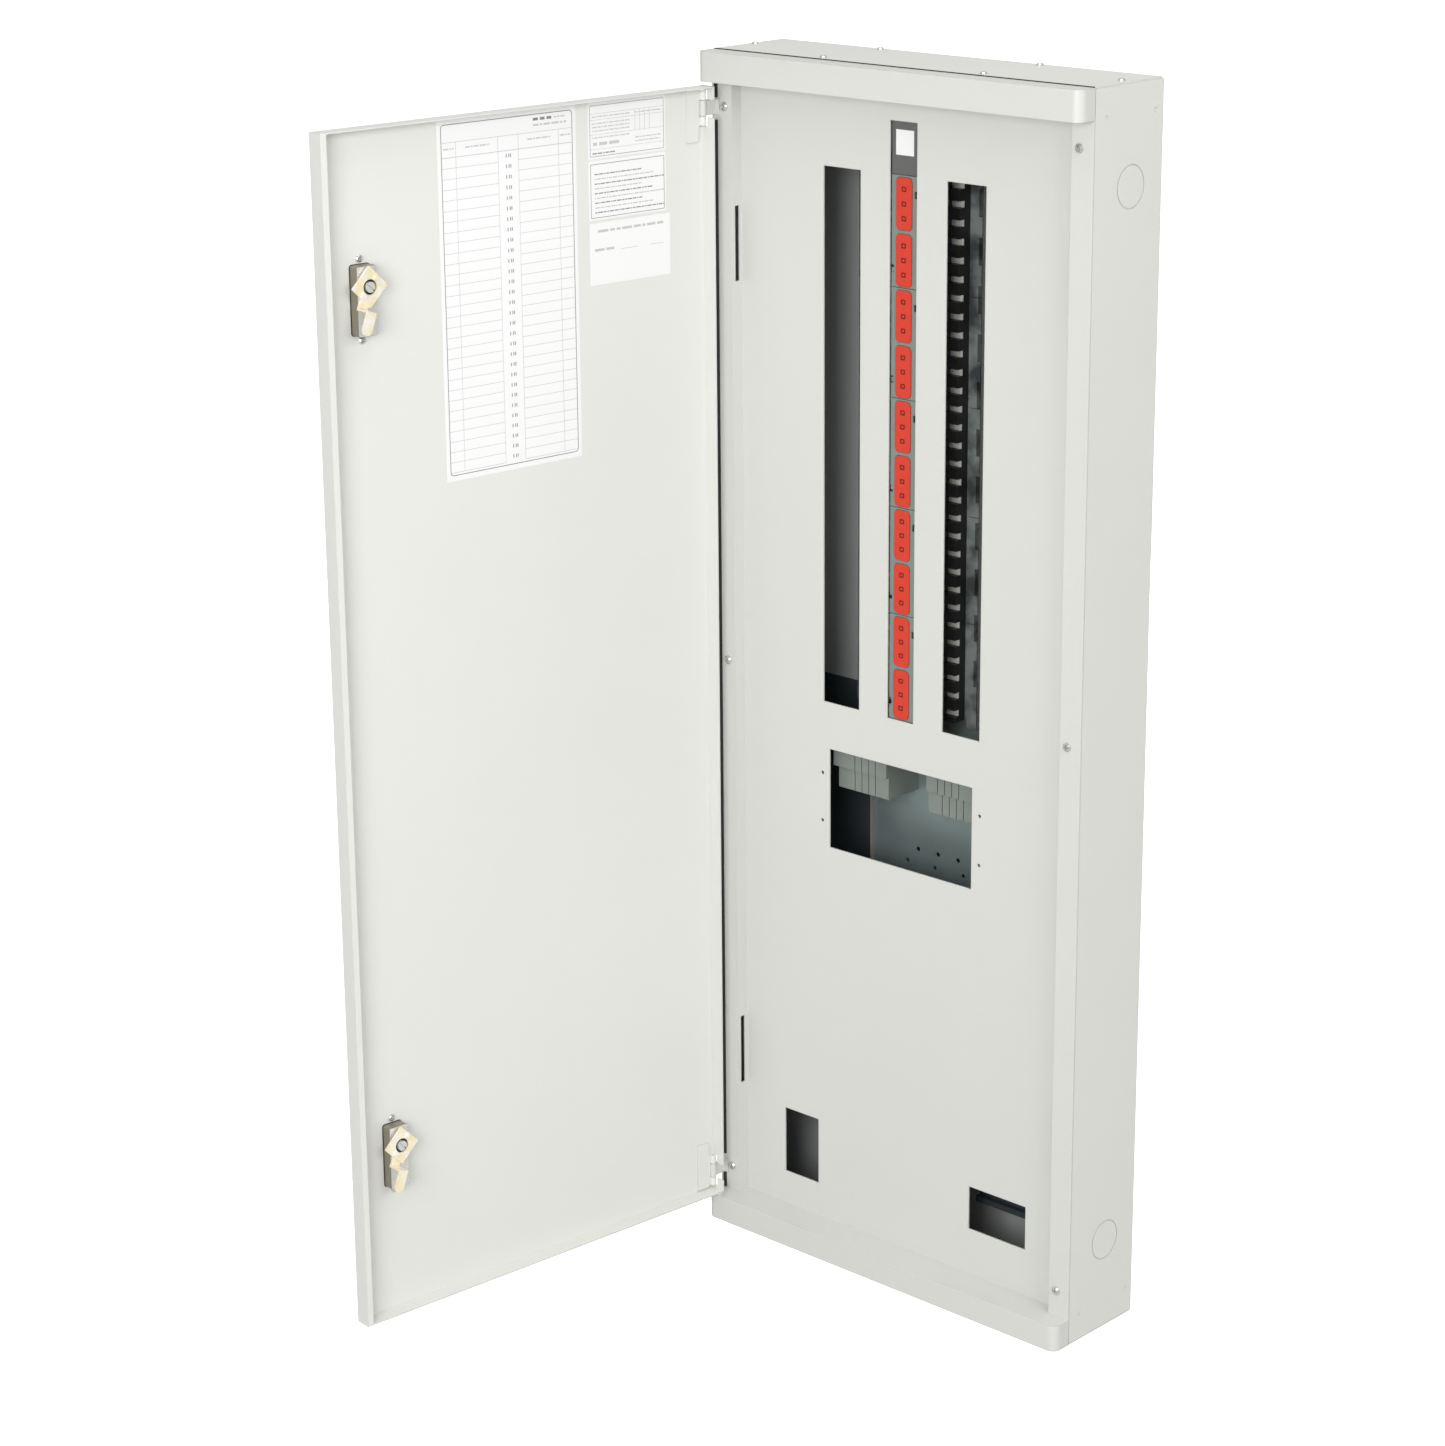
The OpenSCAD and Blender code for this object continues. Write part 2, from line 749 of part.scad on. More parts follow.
module bar_supports() {
    color("dimgray") for (bar = [[neutral_x, neutral_z], [earth_x, earth_z]], end = [0, 1])
        translate([bar[0], 0, bar[1][end] + (end == 0 ? 15 : -15)])
            block([-9, bar_front_y + bar_side, -12], [9, -sheet, 12]);
}

module terminal_screws() {
    color("silver") for (bar = [[neutral_x, neutral_z], [earth_x, earth_z]])
        for (k = [0 : floor((bar[1][1] - bar[1][0]) / terminal_pitch) - 1])
            translate([bar[0], 0, bar[1][0] + (k + 0.5) * terminal_pitch]) difference() {
                round_y(terminal_r, bar_front_y - 3, bar_front_y + 5);
                block([-terminal_r, bar_front_y - 3 - eps, -0.5], [terminal_r, bar_front_y - 1.5, 0.5]);
            }
}

// Fixed half of each hinge: a foot on the strip, an arm and one knuckle
module hinge_frame_leaves() {
    half = frame_knuckle_l / 2;
    color("gainsboro") for (z = hinge_z)
        translate([hinge_x, 0, z]) difference() {
            union() {
                translate([0, hinge_y, -half]) cylinder(r = knuckle_r, h = frame_knuckle_l);
                block([-arm_t / 2, hinge_y, -half], [arm_t / 2, strip_y, half]);
                block([-arm_t / 2, strip_y - leaf_t, -half], [5.5, strip_y, half]);
            }
            translate([0, hinge_y, -half - eps]) cylinder(r = pin_r + thread_gap, h = frame_knuckle_l + 2 * eps);
        }
}

module hinge_pins() {
    color("silver") for (z = hinge_z)
        translate([hinge_x, hinge_y, z]) cylinder(r = pin_r, h = pin_l, center = true);
}

// Turns a piece that is drawn on the closed door to where the door stands open
module on_door() {
    translate([hinge_x, hinge_y, 0])
        rotate([0, 0, -door_open])
            translate([-hinge_x, -hinge_y, 0]) children();
}

// Folded door panel: a skin, four folded edges and a lip along the free edge
module door_panel() {
    knuckles = frame_knuckle_l / 2 + door_knuckle_l + 1;
    color("whitesmoke") on_door() difference() {
        union() {
            difference() {
                block([door_l, hood_y, door_bottom], [door_r, door_back_y, door_top]);
                block([door_l + sheet, door_skin_y, door_bottom + sheet], [door_r - sheet, door_back_y + eps, door_top - sheet]);
            }
            block([door_r - door_lip_w, door_back_y - sheet, door_bottom], [door_r, door_back_y, door_top]);
        }
        for (z = hinge_z) {
            block([door_l - eps, hood_y - eps, z - knuckles], [door_l + hinge_cut, door_skin_y + eps, z + knuckles]);
            block([door_l - eps, hood_y - eps, z - knuckles], [door_l + sheet + eps, hood_y + hinge_cut, z + knuckles]);
            block([door_l - eps, hood_y - eps, z - frame_knuckle_l / 2 - 1],
                  [door_l + sheet + eps, door_back_y + eps, z + frame_knuckle_l / 2 + 1]);
        }
        for (z = lock_z) translate([lock_x, 0, z - housing_drop]) {
            block([lock_cut_clear - housing_w / 2, hood_y - eps, lock_cut_clear - housing_h / 2],
                  [housing_w / 2 - lock_cut_clear, door_skin_y + eps, housing_h / 2 - lock_cut_clear]);
            for (end = [-0.5, 0.5])
                translate([0, 0, end * lock_screw_span]) round_y(lock_screw_r + slack, hood_y - eps, door_skin_y + eps);
        }
    }
}

// Moving half of each hinge: two knuckles and a leaf on the door's skin
module hinge_door_leaves() {
    near = frame_knuckle_l / 2 + slack;
    color("whitesmoke") on_door() for (end = [0, 1])
        translate([hinge_x, 0, hinge_z[end]]) mirror([0, 0, end]) difference() {
            union() {
                for (flip = [0, 1]) mirror([0, 0, flip]) {
                    translate([0, hinge_y, near]) cylinder(r = knuckle_r, h = door_knuckle_l);
                    block([0, door_skin_y, near], [hinge_cut, door_skin_y + leaf_t, near + door_knuckle_l]);
                }
                block([hinge_cut - hinge_off, door_skin_y, -leaf_h / 2 - leaf_shift],
                      [leaf_w, door_skin_y + leaf_t, leaf_h / 2 - leaf_shift]);
            }
            translate([0, hinge_y, -pin_l / 2]) cylinder(r = pin_r + running_gap, h = pin_l);
        }
}

// A thin sheet of paper on the inside of the door
module paper(x0, x1, z0, z1) {
    block([x0, door_skin_y, z0], [x1, door_skin_y + 0.3, z1]);
}

module directory_card() {
    color("white") on_door() paper(door_l + 161, door_l + 324, door_top - 345, door_top - 3);
}

module door_labels() {
    color("white") on_door() {
        paper(door_l + 50, door_l + 146, door_top - 58, door_top - 2);
        paper(door_l + 50, door_l + 146, door_top - 117, door_top - 60);
        paper(door_l + 45.5, door_l + 146, door_top - 180, door_top - 120);
    }
}

// Die-cast lock body: an outer escutcheon, a neck through the door and an inner housing
module lock_housing(z) {
    neck_clear = 2 * lock_cut_clear;
    color("silver") on_door() translate([lock_x, 0, z]) difference() {
        translate([0, 0, -housing_drop]) {
            plate_xz(hood_y - escutcheon_t, hood_y) round_rect(escutcheon_w, escutcheon_h, 6);
            block([neck_clear - housing_w / 2, hood_y - eps, neck_clear - housing_h / 2],
                  [housing_w / 2 - neck_clear, door_skin_y + eps, housing_h / 2 - neck_clear]);
            plate_xz(door_skin_y, housing_face_y) round_rect(housing_w, housing_h, 2);
        }
        round_y(spindle_r + running_gap, hood_y - escutcheon_t - eps, housing_face_y + eps);
        translate([0, 0, -housing_drop]) for (end = [-0.5, 0.5])
            translate([0, 0, end * lock_screw_span])
                round_y(lock_screw_r + thread_gap, hood_y - escutcheon_t + 1, hood_y + eps);
    }
}

module lock_housing_upper() {
    lock_housing(lock_z[0]);
}

module lock_housing_lower() {
    lock_housing(lock_z[1]);
}

module lock_screws() {
    color("silver") on_door() for (z = lock_z, end = [-0.5, 0.5])
        translate([lock_x, door_skin_y, z - housing_drop + end * lock_screw_span])
            rotate([-90, 0, 0]) screw(lock_screw_r, sheet + 2.5);
}

// Turning barrel with a key slot outside and a slotted end inside
module lock_spindle(z) {
    end_y = cam_y + cam_t;
    color("silver") on_door() translate([lock_x, 0, z]) difference() {
        round_y(spindle_r, hood_y - escutcheon_t - 0.5, end_y + 1.5);
        block([-0.8, hood_y - escutcheon_t - 1, -3.5], [0.8, hood_y - escutcheon_t + 3, 3.5]);
        rotate([0, cam_angle, 0]) block([-0.8, end_y, -spindle_r], [0.8, end_y + 2, spindle_r]);
    }
}

module lock_spindle_upper() {
    lock_spindle(lock_z[0]);
}

module lock_spindle_lower() {
    lock_spindle(lock_z[1]);
}

// Square cam plate with two rivet heads
module cam_plate(z) {
    color("palegoldenrod") on_door() translate([lock_x, 0, z]) rotate([0, cam_angle, 0]) {
        difference() {
            plate_xz(cam_y, cam_y + cam_t) round_rect(cam_side, cam_side, 1);
            round_y(cam_hole_r, cam_y - eps, cam_y + cam_t + eps);
        }
        for (side = [-1, 1])
            translate([side * cam_screw_x, 0, 0]) round_y(cam_screw_r, cam_y + cam_t - eps, cam_y + cam_t + 1.4);
    }
}

module cam_plate_upper() {
    cam_plate(lock_z[0]);
}

module cam_plate_lower() {
    cam_plate(lock_z[1]);
}

// Cranked tongue: a root on the spindle, a bend towards the cabinet and a round end
module lock_tongue(z) {
    half = tongue_w / 2;
    color("palegoldenrod") on_door() translate([lock_x, 0, z]) rotate([0, -tongue_lean, 0]) difference() {
        union() {
            round_y(spindle_r + 2.5, tongue_root_y, tongue_root_y + tongue_t);
            block([-half, tongue_root_y, -tongue_bend_r], [half, tongue_root_y + tongue_t, 0]);
            block([-half, tongue_root_y, -tongue_bend_r - tongue_t], [half, tongue_end_y + tongue_t, -tongue_bend_r]);
            block([-half, tongue_end_y, -tongue_reach + half], [half, tongue_end_y + tongue_t, -tongue_bend_r]);
            translate([0, 0, -tongue_reach + half]) round_y(half, tongue_end_y, tongue_end_y + tongue_t);
        }
        round_y(spindle_r, tongue_root_y - eps, tongue_root_y + tongue_t + eps);
    }
}

module lock_tongue_upper() {
    lock_tongue(lock_z[0]);
}

module lock_tongue_lower() {
    lock_tongue(lock_z[1]);
}

back_box();
front_cover();
top_gland_plate();
bottom_gland_plate();
gland_plate_screws();
cover_screws();
chassis_plate();
chassis_standoffs();
chassis_screws();
side_mounting_plate();
base_mouldings();
phase_bar(1);  // phase_bar_1
phase_bar(2);  // phase_bar_2
phase_bar(3);  // phase_bar_3
contact_straps(1);  // contact_straps_1
contact_straps(2);  // contact_straps_2
contact_straps(3);  // contact_straps_3
finger_combs();
breaker_rails();
rail_spacers();
device_rails();
device_rail_brackets();
shroud(1);  // shroud_1
shroud(2);  // shroud_2
shroud(3);  // shroud_3
shroud(4);  // shroud_4
shroud(5);  // shroud_5
way_cover(1);  // way_cover_1
way_cover(2);  // way_cover_2
way_cover(3);  // way_cover_3
way_cover(4);  // way_cover_4
way_cover(5);  // way_cover_5
way_cover(6);  // way_cover_6
way_cover(7);  // way_cover_7
way_cover(8);  // way_cover_8
way_cover(9);  // way_cover_9
way_cover(10);  // way_cover_10
busbar_end_cap();
cap_label();
incomer_shroud_left();
incomer_shroud_right();
neutral_bar();
earth_bar();
bar_supports();
terminal_screws();
hinge_frame_leaves();
hinge_pins();
door_panel();
hinge_door_leaves();
directory_card();
door_labels();
lock_screws();
lock_housing_upper();
lock_spindle_upper();
cam_plate_upper();
lock_tongue_upper();
lock_housing_lower();
lock_spindle_lower();
cam_plate_lower();
lock_tongue_lower();
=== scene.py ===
"""Finished look of the wall-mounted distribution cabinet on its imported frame.

Sizes are millimetres in the row frame, with z up, y towards the wall and the front at negative y. What lies
on the door is worked out with the door shut and then turned open.
"""

import logging
import math
from dataclasses import dataclass, field
from enum import Enum
from typing import Sequence

import bpy
import numpy as np
from mathutils import Matrix, Vector


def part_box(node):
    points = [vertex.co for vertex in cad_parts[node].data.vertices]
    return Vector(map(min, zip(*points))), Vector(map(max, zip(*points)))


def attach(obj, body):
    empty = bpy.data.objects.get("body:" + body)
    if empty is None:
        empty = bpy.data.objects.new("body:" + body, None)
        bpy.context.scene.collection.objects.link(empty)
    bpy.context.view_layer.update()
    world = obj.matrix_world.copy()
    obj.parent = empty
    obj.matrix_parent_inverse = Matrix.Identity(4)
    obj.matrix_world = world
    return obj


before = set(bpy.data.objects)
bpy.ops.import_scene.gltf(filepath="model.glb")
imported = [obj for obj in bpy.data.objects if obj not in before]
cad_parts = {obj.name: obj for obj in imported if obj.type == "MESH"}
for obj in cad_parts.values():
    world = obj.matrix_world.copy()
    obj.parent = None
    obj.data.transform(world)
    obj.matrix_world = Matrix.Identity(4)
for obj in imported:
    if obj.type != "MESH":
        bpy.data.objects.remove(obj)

LOG = logging.getLogger("cabinet")
MM = 0.001
# Depth below the outline of the box, in millimetres, past which a face counts as an inner one and gets the
# painted shade
SHADE_SHELL = 0.8
Triple = tuple[float, float, float]
Colour = Triple


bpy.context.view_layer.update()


def linear(red: int, green: int, blue: int) -> Colour:
    """Turns an eight-bit display colour into a linear one.

    Args:
        red: Red, 0 to 255.
        green: Green, 0 to 255.
        blue: Blue, 0 to 255.

    Returns:
        The linear colour.
    """
    def channel(value: int) -> float:
        """Undoes the display curve: a straight foot, then a power."""
        share = value / 255
        return share / 12.92 if share <= 0.04045 else ((share + 0.055) / 1.055) ** 2.4

    return channel(red), channel(green), channel(blue)


class Body(str, Enum):
    """The rigid bodies that pieces ride on."""

    CABINET = "cabinet"
    DOOR = "door"
    LOCK_UPPER = "lock_upper"
    LOCK_LOWER = "lock_lower"


@dataclass(frozen=True)
class Finish:
    """A procedural surface finish.

    Attributes:
        name: Material name.
        colour: Linear base colour.
        roughness: Mean roughness.
        metallic: 0 for paint and plastic, 1 for bare metal.
        mottle: Share by which the colour varies over large patches.
        patch: Size of the patches, as a noise scale per metre.
        grain: Height of the fine bump, in millimetres.
        grain_scale: Scale of the fine bump per metre.
        coat: Weight of the clear coat.
        rough_spread: How far the roughness strays to either side over the patches.
        edge_r: Radius in millimetres that softens edges in shading, or 0.
        specular: Strength of the plain gloss.
        second: Linear colour of the patches that the first one blends into, or None.
        inside: Linear colour of the painted shade on the box's inner faces, or None.
    """

    name: str
    colour: Colour
    roughness: float = 0.45
    metallic: float = 0.0
    mottle: float = 0.02
    patch: float = 9.0
    grain: float = 0.02
    grain_scale: float = 900.0
    coat: float = 0.0
    rough_spread: float = 0.06
    edge_r: float = 0.0
    specular: float = 0.5
    second: Colour | None = None
    inside: Colour | None = None

    def build(self) -> bpy.types.Material:
        """Makes the node material, once.

        Returns:
            The material.
        """
        made = bpy.data.materials.get(f"{self.name}_finish")
        if made is not None:
            return made
        made = bpy.data.materials.new(f"{self.name}_finish")
        made.use_nodes = True
        tree = made.node_tree
        tree.nodes.clear()
        node = tree.nodes.new
        link = tree.links.new
        out = node("ShaderNodeOutputMaterial")
        shader = node("ShaderNodeBsdfPrincipled")
        link(shader.outputs["BSDF"], out.inputs["Surface"])
        place = node("ShaderNodeTexCoord")
        patches = node("ShaderNodeTexNoise")
        patches.inputs["Scale"].default_value = self.patch
        patches.inputs["Detail"].default_value = 4.0
        link(place.outputs["Object"], patches.inputs["Vector"])
        tint = node("ShaderNodeMapRange")
        tint.inputs["To Min"].default_value = 1.0 - self.mottle
        tint.inputs["To Max"].default_value = 1.0 + self.mottle
        link(patches.outputs["Fac"], tint.inputs["Value"])
        base = node("ShaderNodeMix")
        base.data_type = "RGBA"
        base.inputs["A"].default_value = (*self.colour, 1.0)
        base.inputs["B"].default_value = (*(self.second or self.colour), 1.0)
        # The noise mostly lies near its middle, so the two colours blend there
        share = node("ShaderNodeMapRange")
        share.inputs["From Min"].default_value = 0.4
        share.inputs["From Max"].default_value = 0.6
        link(patches.outputs["Fac"], share.inputs["Value"])
        link(share.outputs["Result"], base.inputs["Factor"])
        scaled = node("ShaderNodeVectorMath")
        scaled.operation = "SCALE"
        # The box's inner faces get a darker colour as painted shade
        painted = self.shade_inside(tree, place, base) if self.inside else base
        link(painted.outputs["Result"], scaled.inputs[0])
        link(tint.outputs["Result"], scaled.inputs["Scale"])
        link(scaled.outputs["Vector"], shader.inputs["Base Color"])
        rough = node("ShaderNodeMapRange")
        rough.inputs["To Min"].default_value = self.roughness - self.rough_spread
        rough.inputs["To Max"].default_value = self.roughness + self.rough_spread
        link(patches.outputs["Fac"], rough.inputs["Value"])
        link(rough.outputs["Result"], shader.inputs["Roughness"])
        shader.inputs["Metallic"].default_value = self.metallic
        shader.inputs["Specular IOR Level"].default_value = self.specular
        shader.inputs["Coat Weight"].default_value = self.coat
        shader.inputs["Coat Roughness"].default_value = 0.3
        fine = node("ShaderNodeTexNoise")
        fine.inputs["Scale"].default_value = self.grain_scale
        fine.inputs["Detail"].default_value = 2.0
        link(place.outputs["Object"], fine.inputs["Vector"])
        bump = node("ShaderNodeBump")
        bump.inputs["Strength"].default_value = 0.25
        bump.inputs["Distance"].default_value = self.grain * MM
        link(fine.outputs["Fac"], bump.inputs["Height"])
        if self.edge_r > 0:
            soft = node("ShaderNodeBevel")
            soft.samples = 4
            soft.inputs["Radius"].default_value = self.edge_r * MM
            link(soft.outputs["Normal"], bump.inputs["Normal"])
        link(bump.outputs["Normal"], shader.inputs["Normal"])
        return made

    def shade_inside(self, tree: bpy.types.NodeTree, place: bpy.types.Node,
                    base: bpy.types.Node) -> bpy.types.Node:
        """Paints shade on the faces that lie within the box's walls: a darker colour that stands for the dim
        light inside the box.

        A point counts as inside when, on every axis, its distance from the box's middle is under half the
        inner size. The tests give 1 or 0, and their product is 1 only where all three hold.

        Args:
            tree: Node tree to add to.
            place: Texture coordinates.
            base: Node with the outer colour.

        Returns:
            The node that mixes the two.
        """
        low, high = span_of("back_box")
        middle, half = (low + high) / 2 * MM, ((high - low) / 2 - SHADE_SHELL) * MM
        moved = tree.nodes.new("ShaderNodeVectorMath")
        moved.operation = "SUBTRACT"
        moved.inputs[1].default_value = middle.tolist()
        tree.links.new(place.outputs["Object"], moved.inputs[0])
        apart = tree.nodes.new("ShaderNodeVectorMath")
        apart.operation = "ABSOLUTE"
        tree.links.new(moved.outputs["Vector"], apart.inputs[0])
        axes = tree.nodes.new("ShaderNodeSeparateXYZ")
        tree.links.new(apart.outputs["Vector"], axes.inputs["Vector"])
        last = None
        for axis, limit in enumerate(half.tolist()):
            test = tree.nodes.new("ShaderNodeMath")
            test.operation = "LESS_THAN"
            test.inputs[1].default_value = limit
            tree.links.new(axes.outputs[axis], test.inputs[0])
            if last is not None:
                both = tree.nodes.new("ShaderNodeMath")
                both.operation = "MULTIPLY"
                tree.links.new(last.outputs["Value"], both.inputs[0])
                tree.links.new(test.outputs["Value"], both.inputs[1])
                test = both
            last = test
        mixed = tree.nodes.new("ShaderNodeMix")
        mixed.data_type = "RGBA"
        mixed.inputs["B"].default_value = (*self.inside, 1.0)
        tree.links.new(last.outputs["Value"], mixed.inputs["Factor"])
        tree.links.new(base.outputs["Result"], mixed.inputs["A"])
        return mixed


# The cover, the box and the door wear one paint in three brightnesses: the cover's darker copy is painted
# shade on the front, the door's lighter copy is painted light on the door's inner face, and the box's copy
# lies between them.
COVER_PAINT_SHADED = Finish("cover_paint_shaded", linear(207, 208, 203), 0.42, mottle=0.012, grain=0.03, coat=0.12,
               edge_r=1.5)
# The inside colour is painted shade for the dim light within the box
BOX_PAINT = Finish("box_paint", linear(216, 217, 211), 0.46, mottle=0.015, grain=0.03, coat=0.08,
                   edge_r=1.5, inside=linear(172, 175, 174))
DOOR_PAINT_LIT = Finish("door_paint_lit", linear(219, 220, 215), 0.42, mottle=0.012, grain=0.03, coat=0.12,
                    edge_r=1.5)
ZINC = Finish("bright_zinc", linear(214, 215, 214), 0.22, 0.92, mottle=0.05, patch=60.0, edge_r=0.3)
GALVANISED = Finish("galvanised", linear(142, 157, 157), 0.42, 0.6, mottle=0.10, patch=30.0, grain=0.02,
                    edge_r=0.3)
# Dark coat for the device rails and the side mounting plate, darker than their bare metal: painted shade so
# they sit dim in the box
SHADED_SLATE = Finish("slate_painted_shade", linear(58, 66, 72), 0.5, 0.1, edge_r=0.3)
YELLOW_ZINC = Finish("yellow_zinc", linear(250, 238, 196), 0.24, 0.35, mottle=0.04, patch=110.0,
                     edge_r=0.4, second=linear(250, 246, 236))
CAST = Finish("cast_zinc", linear(222, 221, 216), 0.26, 0.45, mottle=0.05, patch=60.0, edge_r=0.5)
TINNED = Finish("tinned_copper", linear(236, 235, 228), 0.3, 0.25, mottle=0.06, patch=60.0, edge_r=0.2)
COPPER = Finish("bare_copper", linear(190, 120, 88), 0.32, 1.0, mottle=0.06, patch=40.0)
BRASS = Finish("plain_brass", linear(205, 172, 100), 0.3, 1.0, mottle=0.05, patch=40.0)
SHROUD = Finish("shroud_grey", linear(122, 131, 126), 0.5, mottle=0.04, patch=24.0, edge_r=0.4)
SHROUD_DEEP = Finish("incomer_grey", linear(124, 130, 125), 0.5, mottle=0.08, patch=24.0, edge_r=0.4)
DARK = Finish("dark_grey_moulding", linear(92, 92, 91), 0.5, mottle=0.03, patch=20.0, edge_r=0.4)
DEEP = Finish("deep_grey_moulding", linear(58, 62, 62), 0.55, mottle=0.1, patch=34.0, edge_r=0.4,
              second=linear(122, 127, 126))
BLACK = Finish("black_moulding", linear(26, 27, 28), 0.42, mottle=0.04, patch=20.0, edge_r=0.3)
RED = Finish("orange_red_moulding", linear(205, 64, 48), 0.45, mottle=0.03, patch=25.0, edge_r=0.4,
             specular=0.15)
PAPER = Finish("white_card", linear(234, 234, 234), 0.6, mottle=0.006, grain=0.01, specular=0.3)
INK = Finish("grey_ink", linear(126, 128, 130), 0.6, mottle=0.01, grain=0.005)
FAINT_INK = Finish("faint_ink", linear(190, 191, 192), 0.6, mottle=0.01, grain=0.005)
MARK = Finish("moulded_mark", linear(112, 30, 24), 0.45, mottle=0.02, specular=0.2)
RIM = Finish("pocket_shadow_line", linear(104, 96, 90), 0.6, mottle=0.02, specular=0.2)
# Near-black colour for strips that stand for the shadow in gaps: painted shade
SHADE_STRIP = Finish("black_painted_shade", linear(48, 49, 48), 0.75, mottle=0.12, patch=60.0, specular=0.2)
FLANGE = Finish("side_flange", linear(150, 142, 140), 0.45, 0.2, mottle=0.08, patch=60.0)
# Dark colours for the lines round the lock housings: painted shade
HOUSING_SIDE_SHADE = Finish("grey_painted_shade", linear(138, 132, 118), 0.4, 0.3, mottle=0.08, patch=60.0)
HOUSING_FOOT_SHADE = Finish("brown_painted_shade", linear(62, 54, 48), 0.7, mottle=0.1, patch=60.0, specular=0.2)

NODE_FINISH: dict[str, Finish] = {
    "front_cover": COVER_PAINT_SHADED,
    "back_box": BOX_PAINT,
    "top_gland_plate": BOX_PAINT,
    "bottom_gland_plate": BOX_PAINT,
    "hinge_frame_leaves": COVER_PAINT_SHADED,
    "hinge_door_leaves": DOOR_PAINT_LIT,
    "door_panel": DOOR_PAINT_LIT,
    "chassis_plate": GALVANISED,
    "side_mounting_plate": SHADED_SLATE,
    "phase_bar": COPPER,
    "contact_straps": TINNED,
    "finger_combs": BLACK,
    "base_mouldings": DEEP,
    "rail_spacers": DEEP,
    "device_rail_brackets": BLACK,
    "device_rails": SHADED_SLATE,
    "bar_supports": BLACK,
    "incomer_shroud": SHROUD_DEEP,
    "shroud": SHROUD,
    "way_cover": RED,
    "busbar_end_cap": DARK,
    "cap_label": PAPER,
    "directory_card": PAPER,
    "door_labels": PAPER,
    "neutral_bar": BRASS,
    "earth_bar": BRASS,
    "lock_housing": CAST,
    "lock_spindle": CAST,
    "cam_plate": YELLOW_ZINC,
    "lock_tongue": YELLOW_ZINC,
}


def finish_of(node: str) -> Finish:
    """Finds a node's finish by the longest matching start of its name.

    Args:
        node: CAD node name.

    Returns:
        Its finish; bright zinc when nothing matches, as for screws, pins and rails.
    """
    fits = [name for name in NODE_FINISH if node.startswith(name)]
    return NODE_FINISH[max(fits, key=len)] if fits else ZINC


def dress_nodes() -> int:
    """Gives every CAD node its finish in its own slots.

    Returns:
        The number of nodes dressed.
    """
    for name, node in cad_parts.items():
        material = finish_of(name).build()
        if not node.material_slots:
            node.data.materials.append(material)
        for slot in node.material_slots:
            slot.material = material
    return len(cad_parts)


@dataclass
class Mesh:
    """Vertices and faces gathered for one piece, in millimetres of the row frame."""

    points: list[np.ndarray] = field(default_factory=list)
    faces: list[tuple[int, ...]] = field(default_factory=list)

    def count(self) -> int:
        """Counts the vertices so far.

        Returns:
            The number of vertices.
        """
        return sum(len(block) for block in self.points)

    def add(self, points: np.ndarray, faces: Sequence[Sequence[int]]) -> None:
        """Adds a block of vertices and its faces.

        Args:
            points: N by 3 vertices.
            faces: Faces that index into this block.
        """
        start = self.count()
        self.points.append(points)
        self.faces.extend(tuple(start + i for i in face) for face in faces)

    def box(self, low: Sequence[float], high: Sequence[float]) -> None:
        """Adds a box.

        Args:
            low: Lowest corner.
            high: Highest corner.
        """
        lo, hi = np.asarray(low, float), np.asarray(high, float)
        unit = np.array([[x, y, z] for z in (0, 1) for y in (0, 1) for x in (0, 1)], float)
        sides = [(0, 2, 3, 1), (4, 5, 7, 6), (0, 1, 5, 4), (2, 6, 7, 3), (0, 4, 6, 2), (1, 3, 7, 5)]
        self.add(lo + unit * (hi - lo), sides)

    def skin(self, loops: np.ndarray, closed: bool) -> None:
        """Adds a closed skin through loops of points.

        Point j of loop i joins point j of loop i + 1, so four neighbours make one face. The sum of the triple
        products of the fans is six times the signed volume, so its sign tells which way the faces look, and
        they are turned to look out.

        Args:
            loops: Loops by points by 3 coordinates.
            closed: True when the last loop joins the first; False when both ends get a flat cap.
        """
        rows, count = loops.shape[:2]
        step = np.arange(rows if closed else rows - 1)[:, None]
        turn = np.arange(count)[None, :]
        after, beside = (step + 1) % rows, (turn + 1) % count
        near, far = step * count, after * count
        quads = np.stack([near + turn, near + beside, far + beside, far + turn], -1)
        faces = [tuple(face) for face in quads.reshape(-1, 4).tolist()]
        if not closed:
            faces.append(tuple(range(count))[::-1])
            faces.append(tuple(range((rows - 1) * count, rows * count)))
        points = loops.reshape(-1, 3)
        volume = sum(float(np.dot(points[face[0]], np.cross(points[face[k]], points[face[k + 1]])))
                     for face in faces for k in range(1, len(face) - 1))
        self.add(points, faces if volume > 0 else [face[::-1] for face in faces])

    def frame_ring(self, centre: Sequence[float], outer: np.ndarray, inner: np.ndarray,
                   depth: float) -> None:
        """Adds a flat ring between two outlines, standing up along y.

        Args:
            centre: Middle of the ring on the plane that it stands on.
            outer: Outer outline, N by 2 in x and z.
            inner: Inner outline with as many points.
            depth: Thickness along y, negative towards the front.
        """
        def loop(outline: np.ndarray, rise: float) -> np.ndarray:
            """Lifts an outline to its place."""
            return np.stack([outline[:, 0], np.full(len(outline), rise), outline[:, 1]], 1)

        ring = np.stack([loop(outer, 0.0), loop(outer, depth), loop(inner, depth), loop(inner, 0.0)])
        self.skin(ring + np.asarray(centre, float), True)

    def piece(self, name: str, finish: Finish, body: Body, turn: Matrix | None = None) -> None:
        """Makes the piece and hangs it on its body.

        Args:
            name: Piece name.
            finish: Surface finish.
            body: Body it rides on.
            turn: Placement in millimetres, or None to keep the points.
        """
        points = np.vstack(self.points)
        if turn is not None:
            matrix = np.array(turn)
            points = points @ matrix[:3, :3].T + matrix[:3, 3]
        mesh = bpy.data.meshes.new(name)
        mesh.from_pydata((points * MM).tolist(), [], self.faces)
        mesh.update()
        mesh.materials.append(finish.build())
        made = bpy.data.objects.new(name, mesh)
        bpy.context.scene.collection.objects.link(made)
        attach(made, body.value)
        LOG.info("%s: %d faces on %s", name, len(self.faces), body.value)


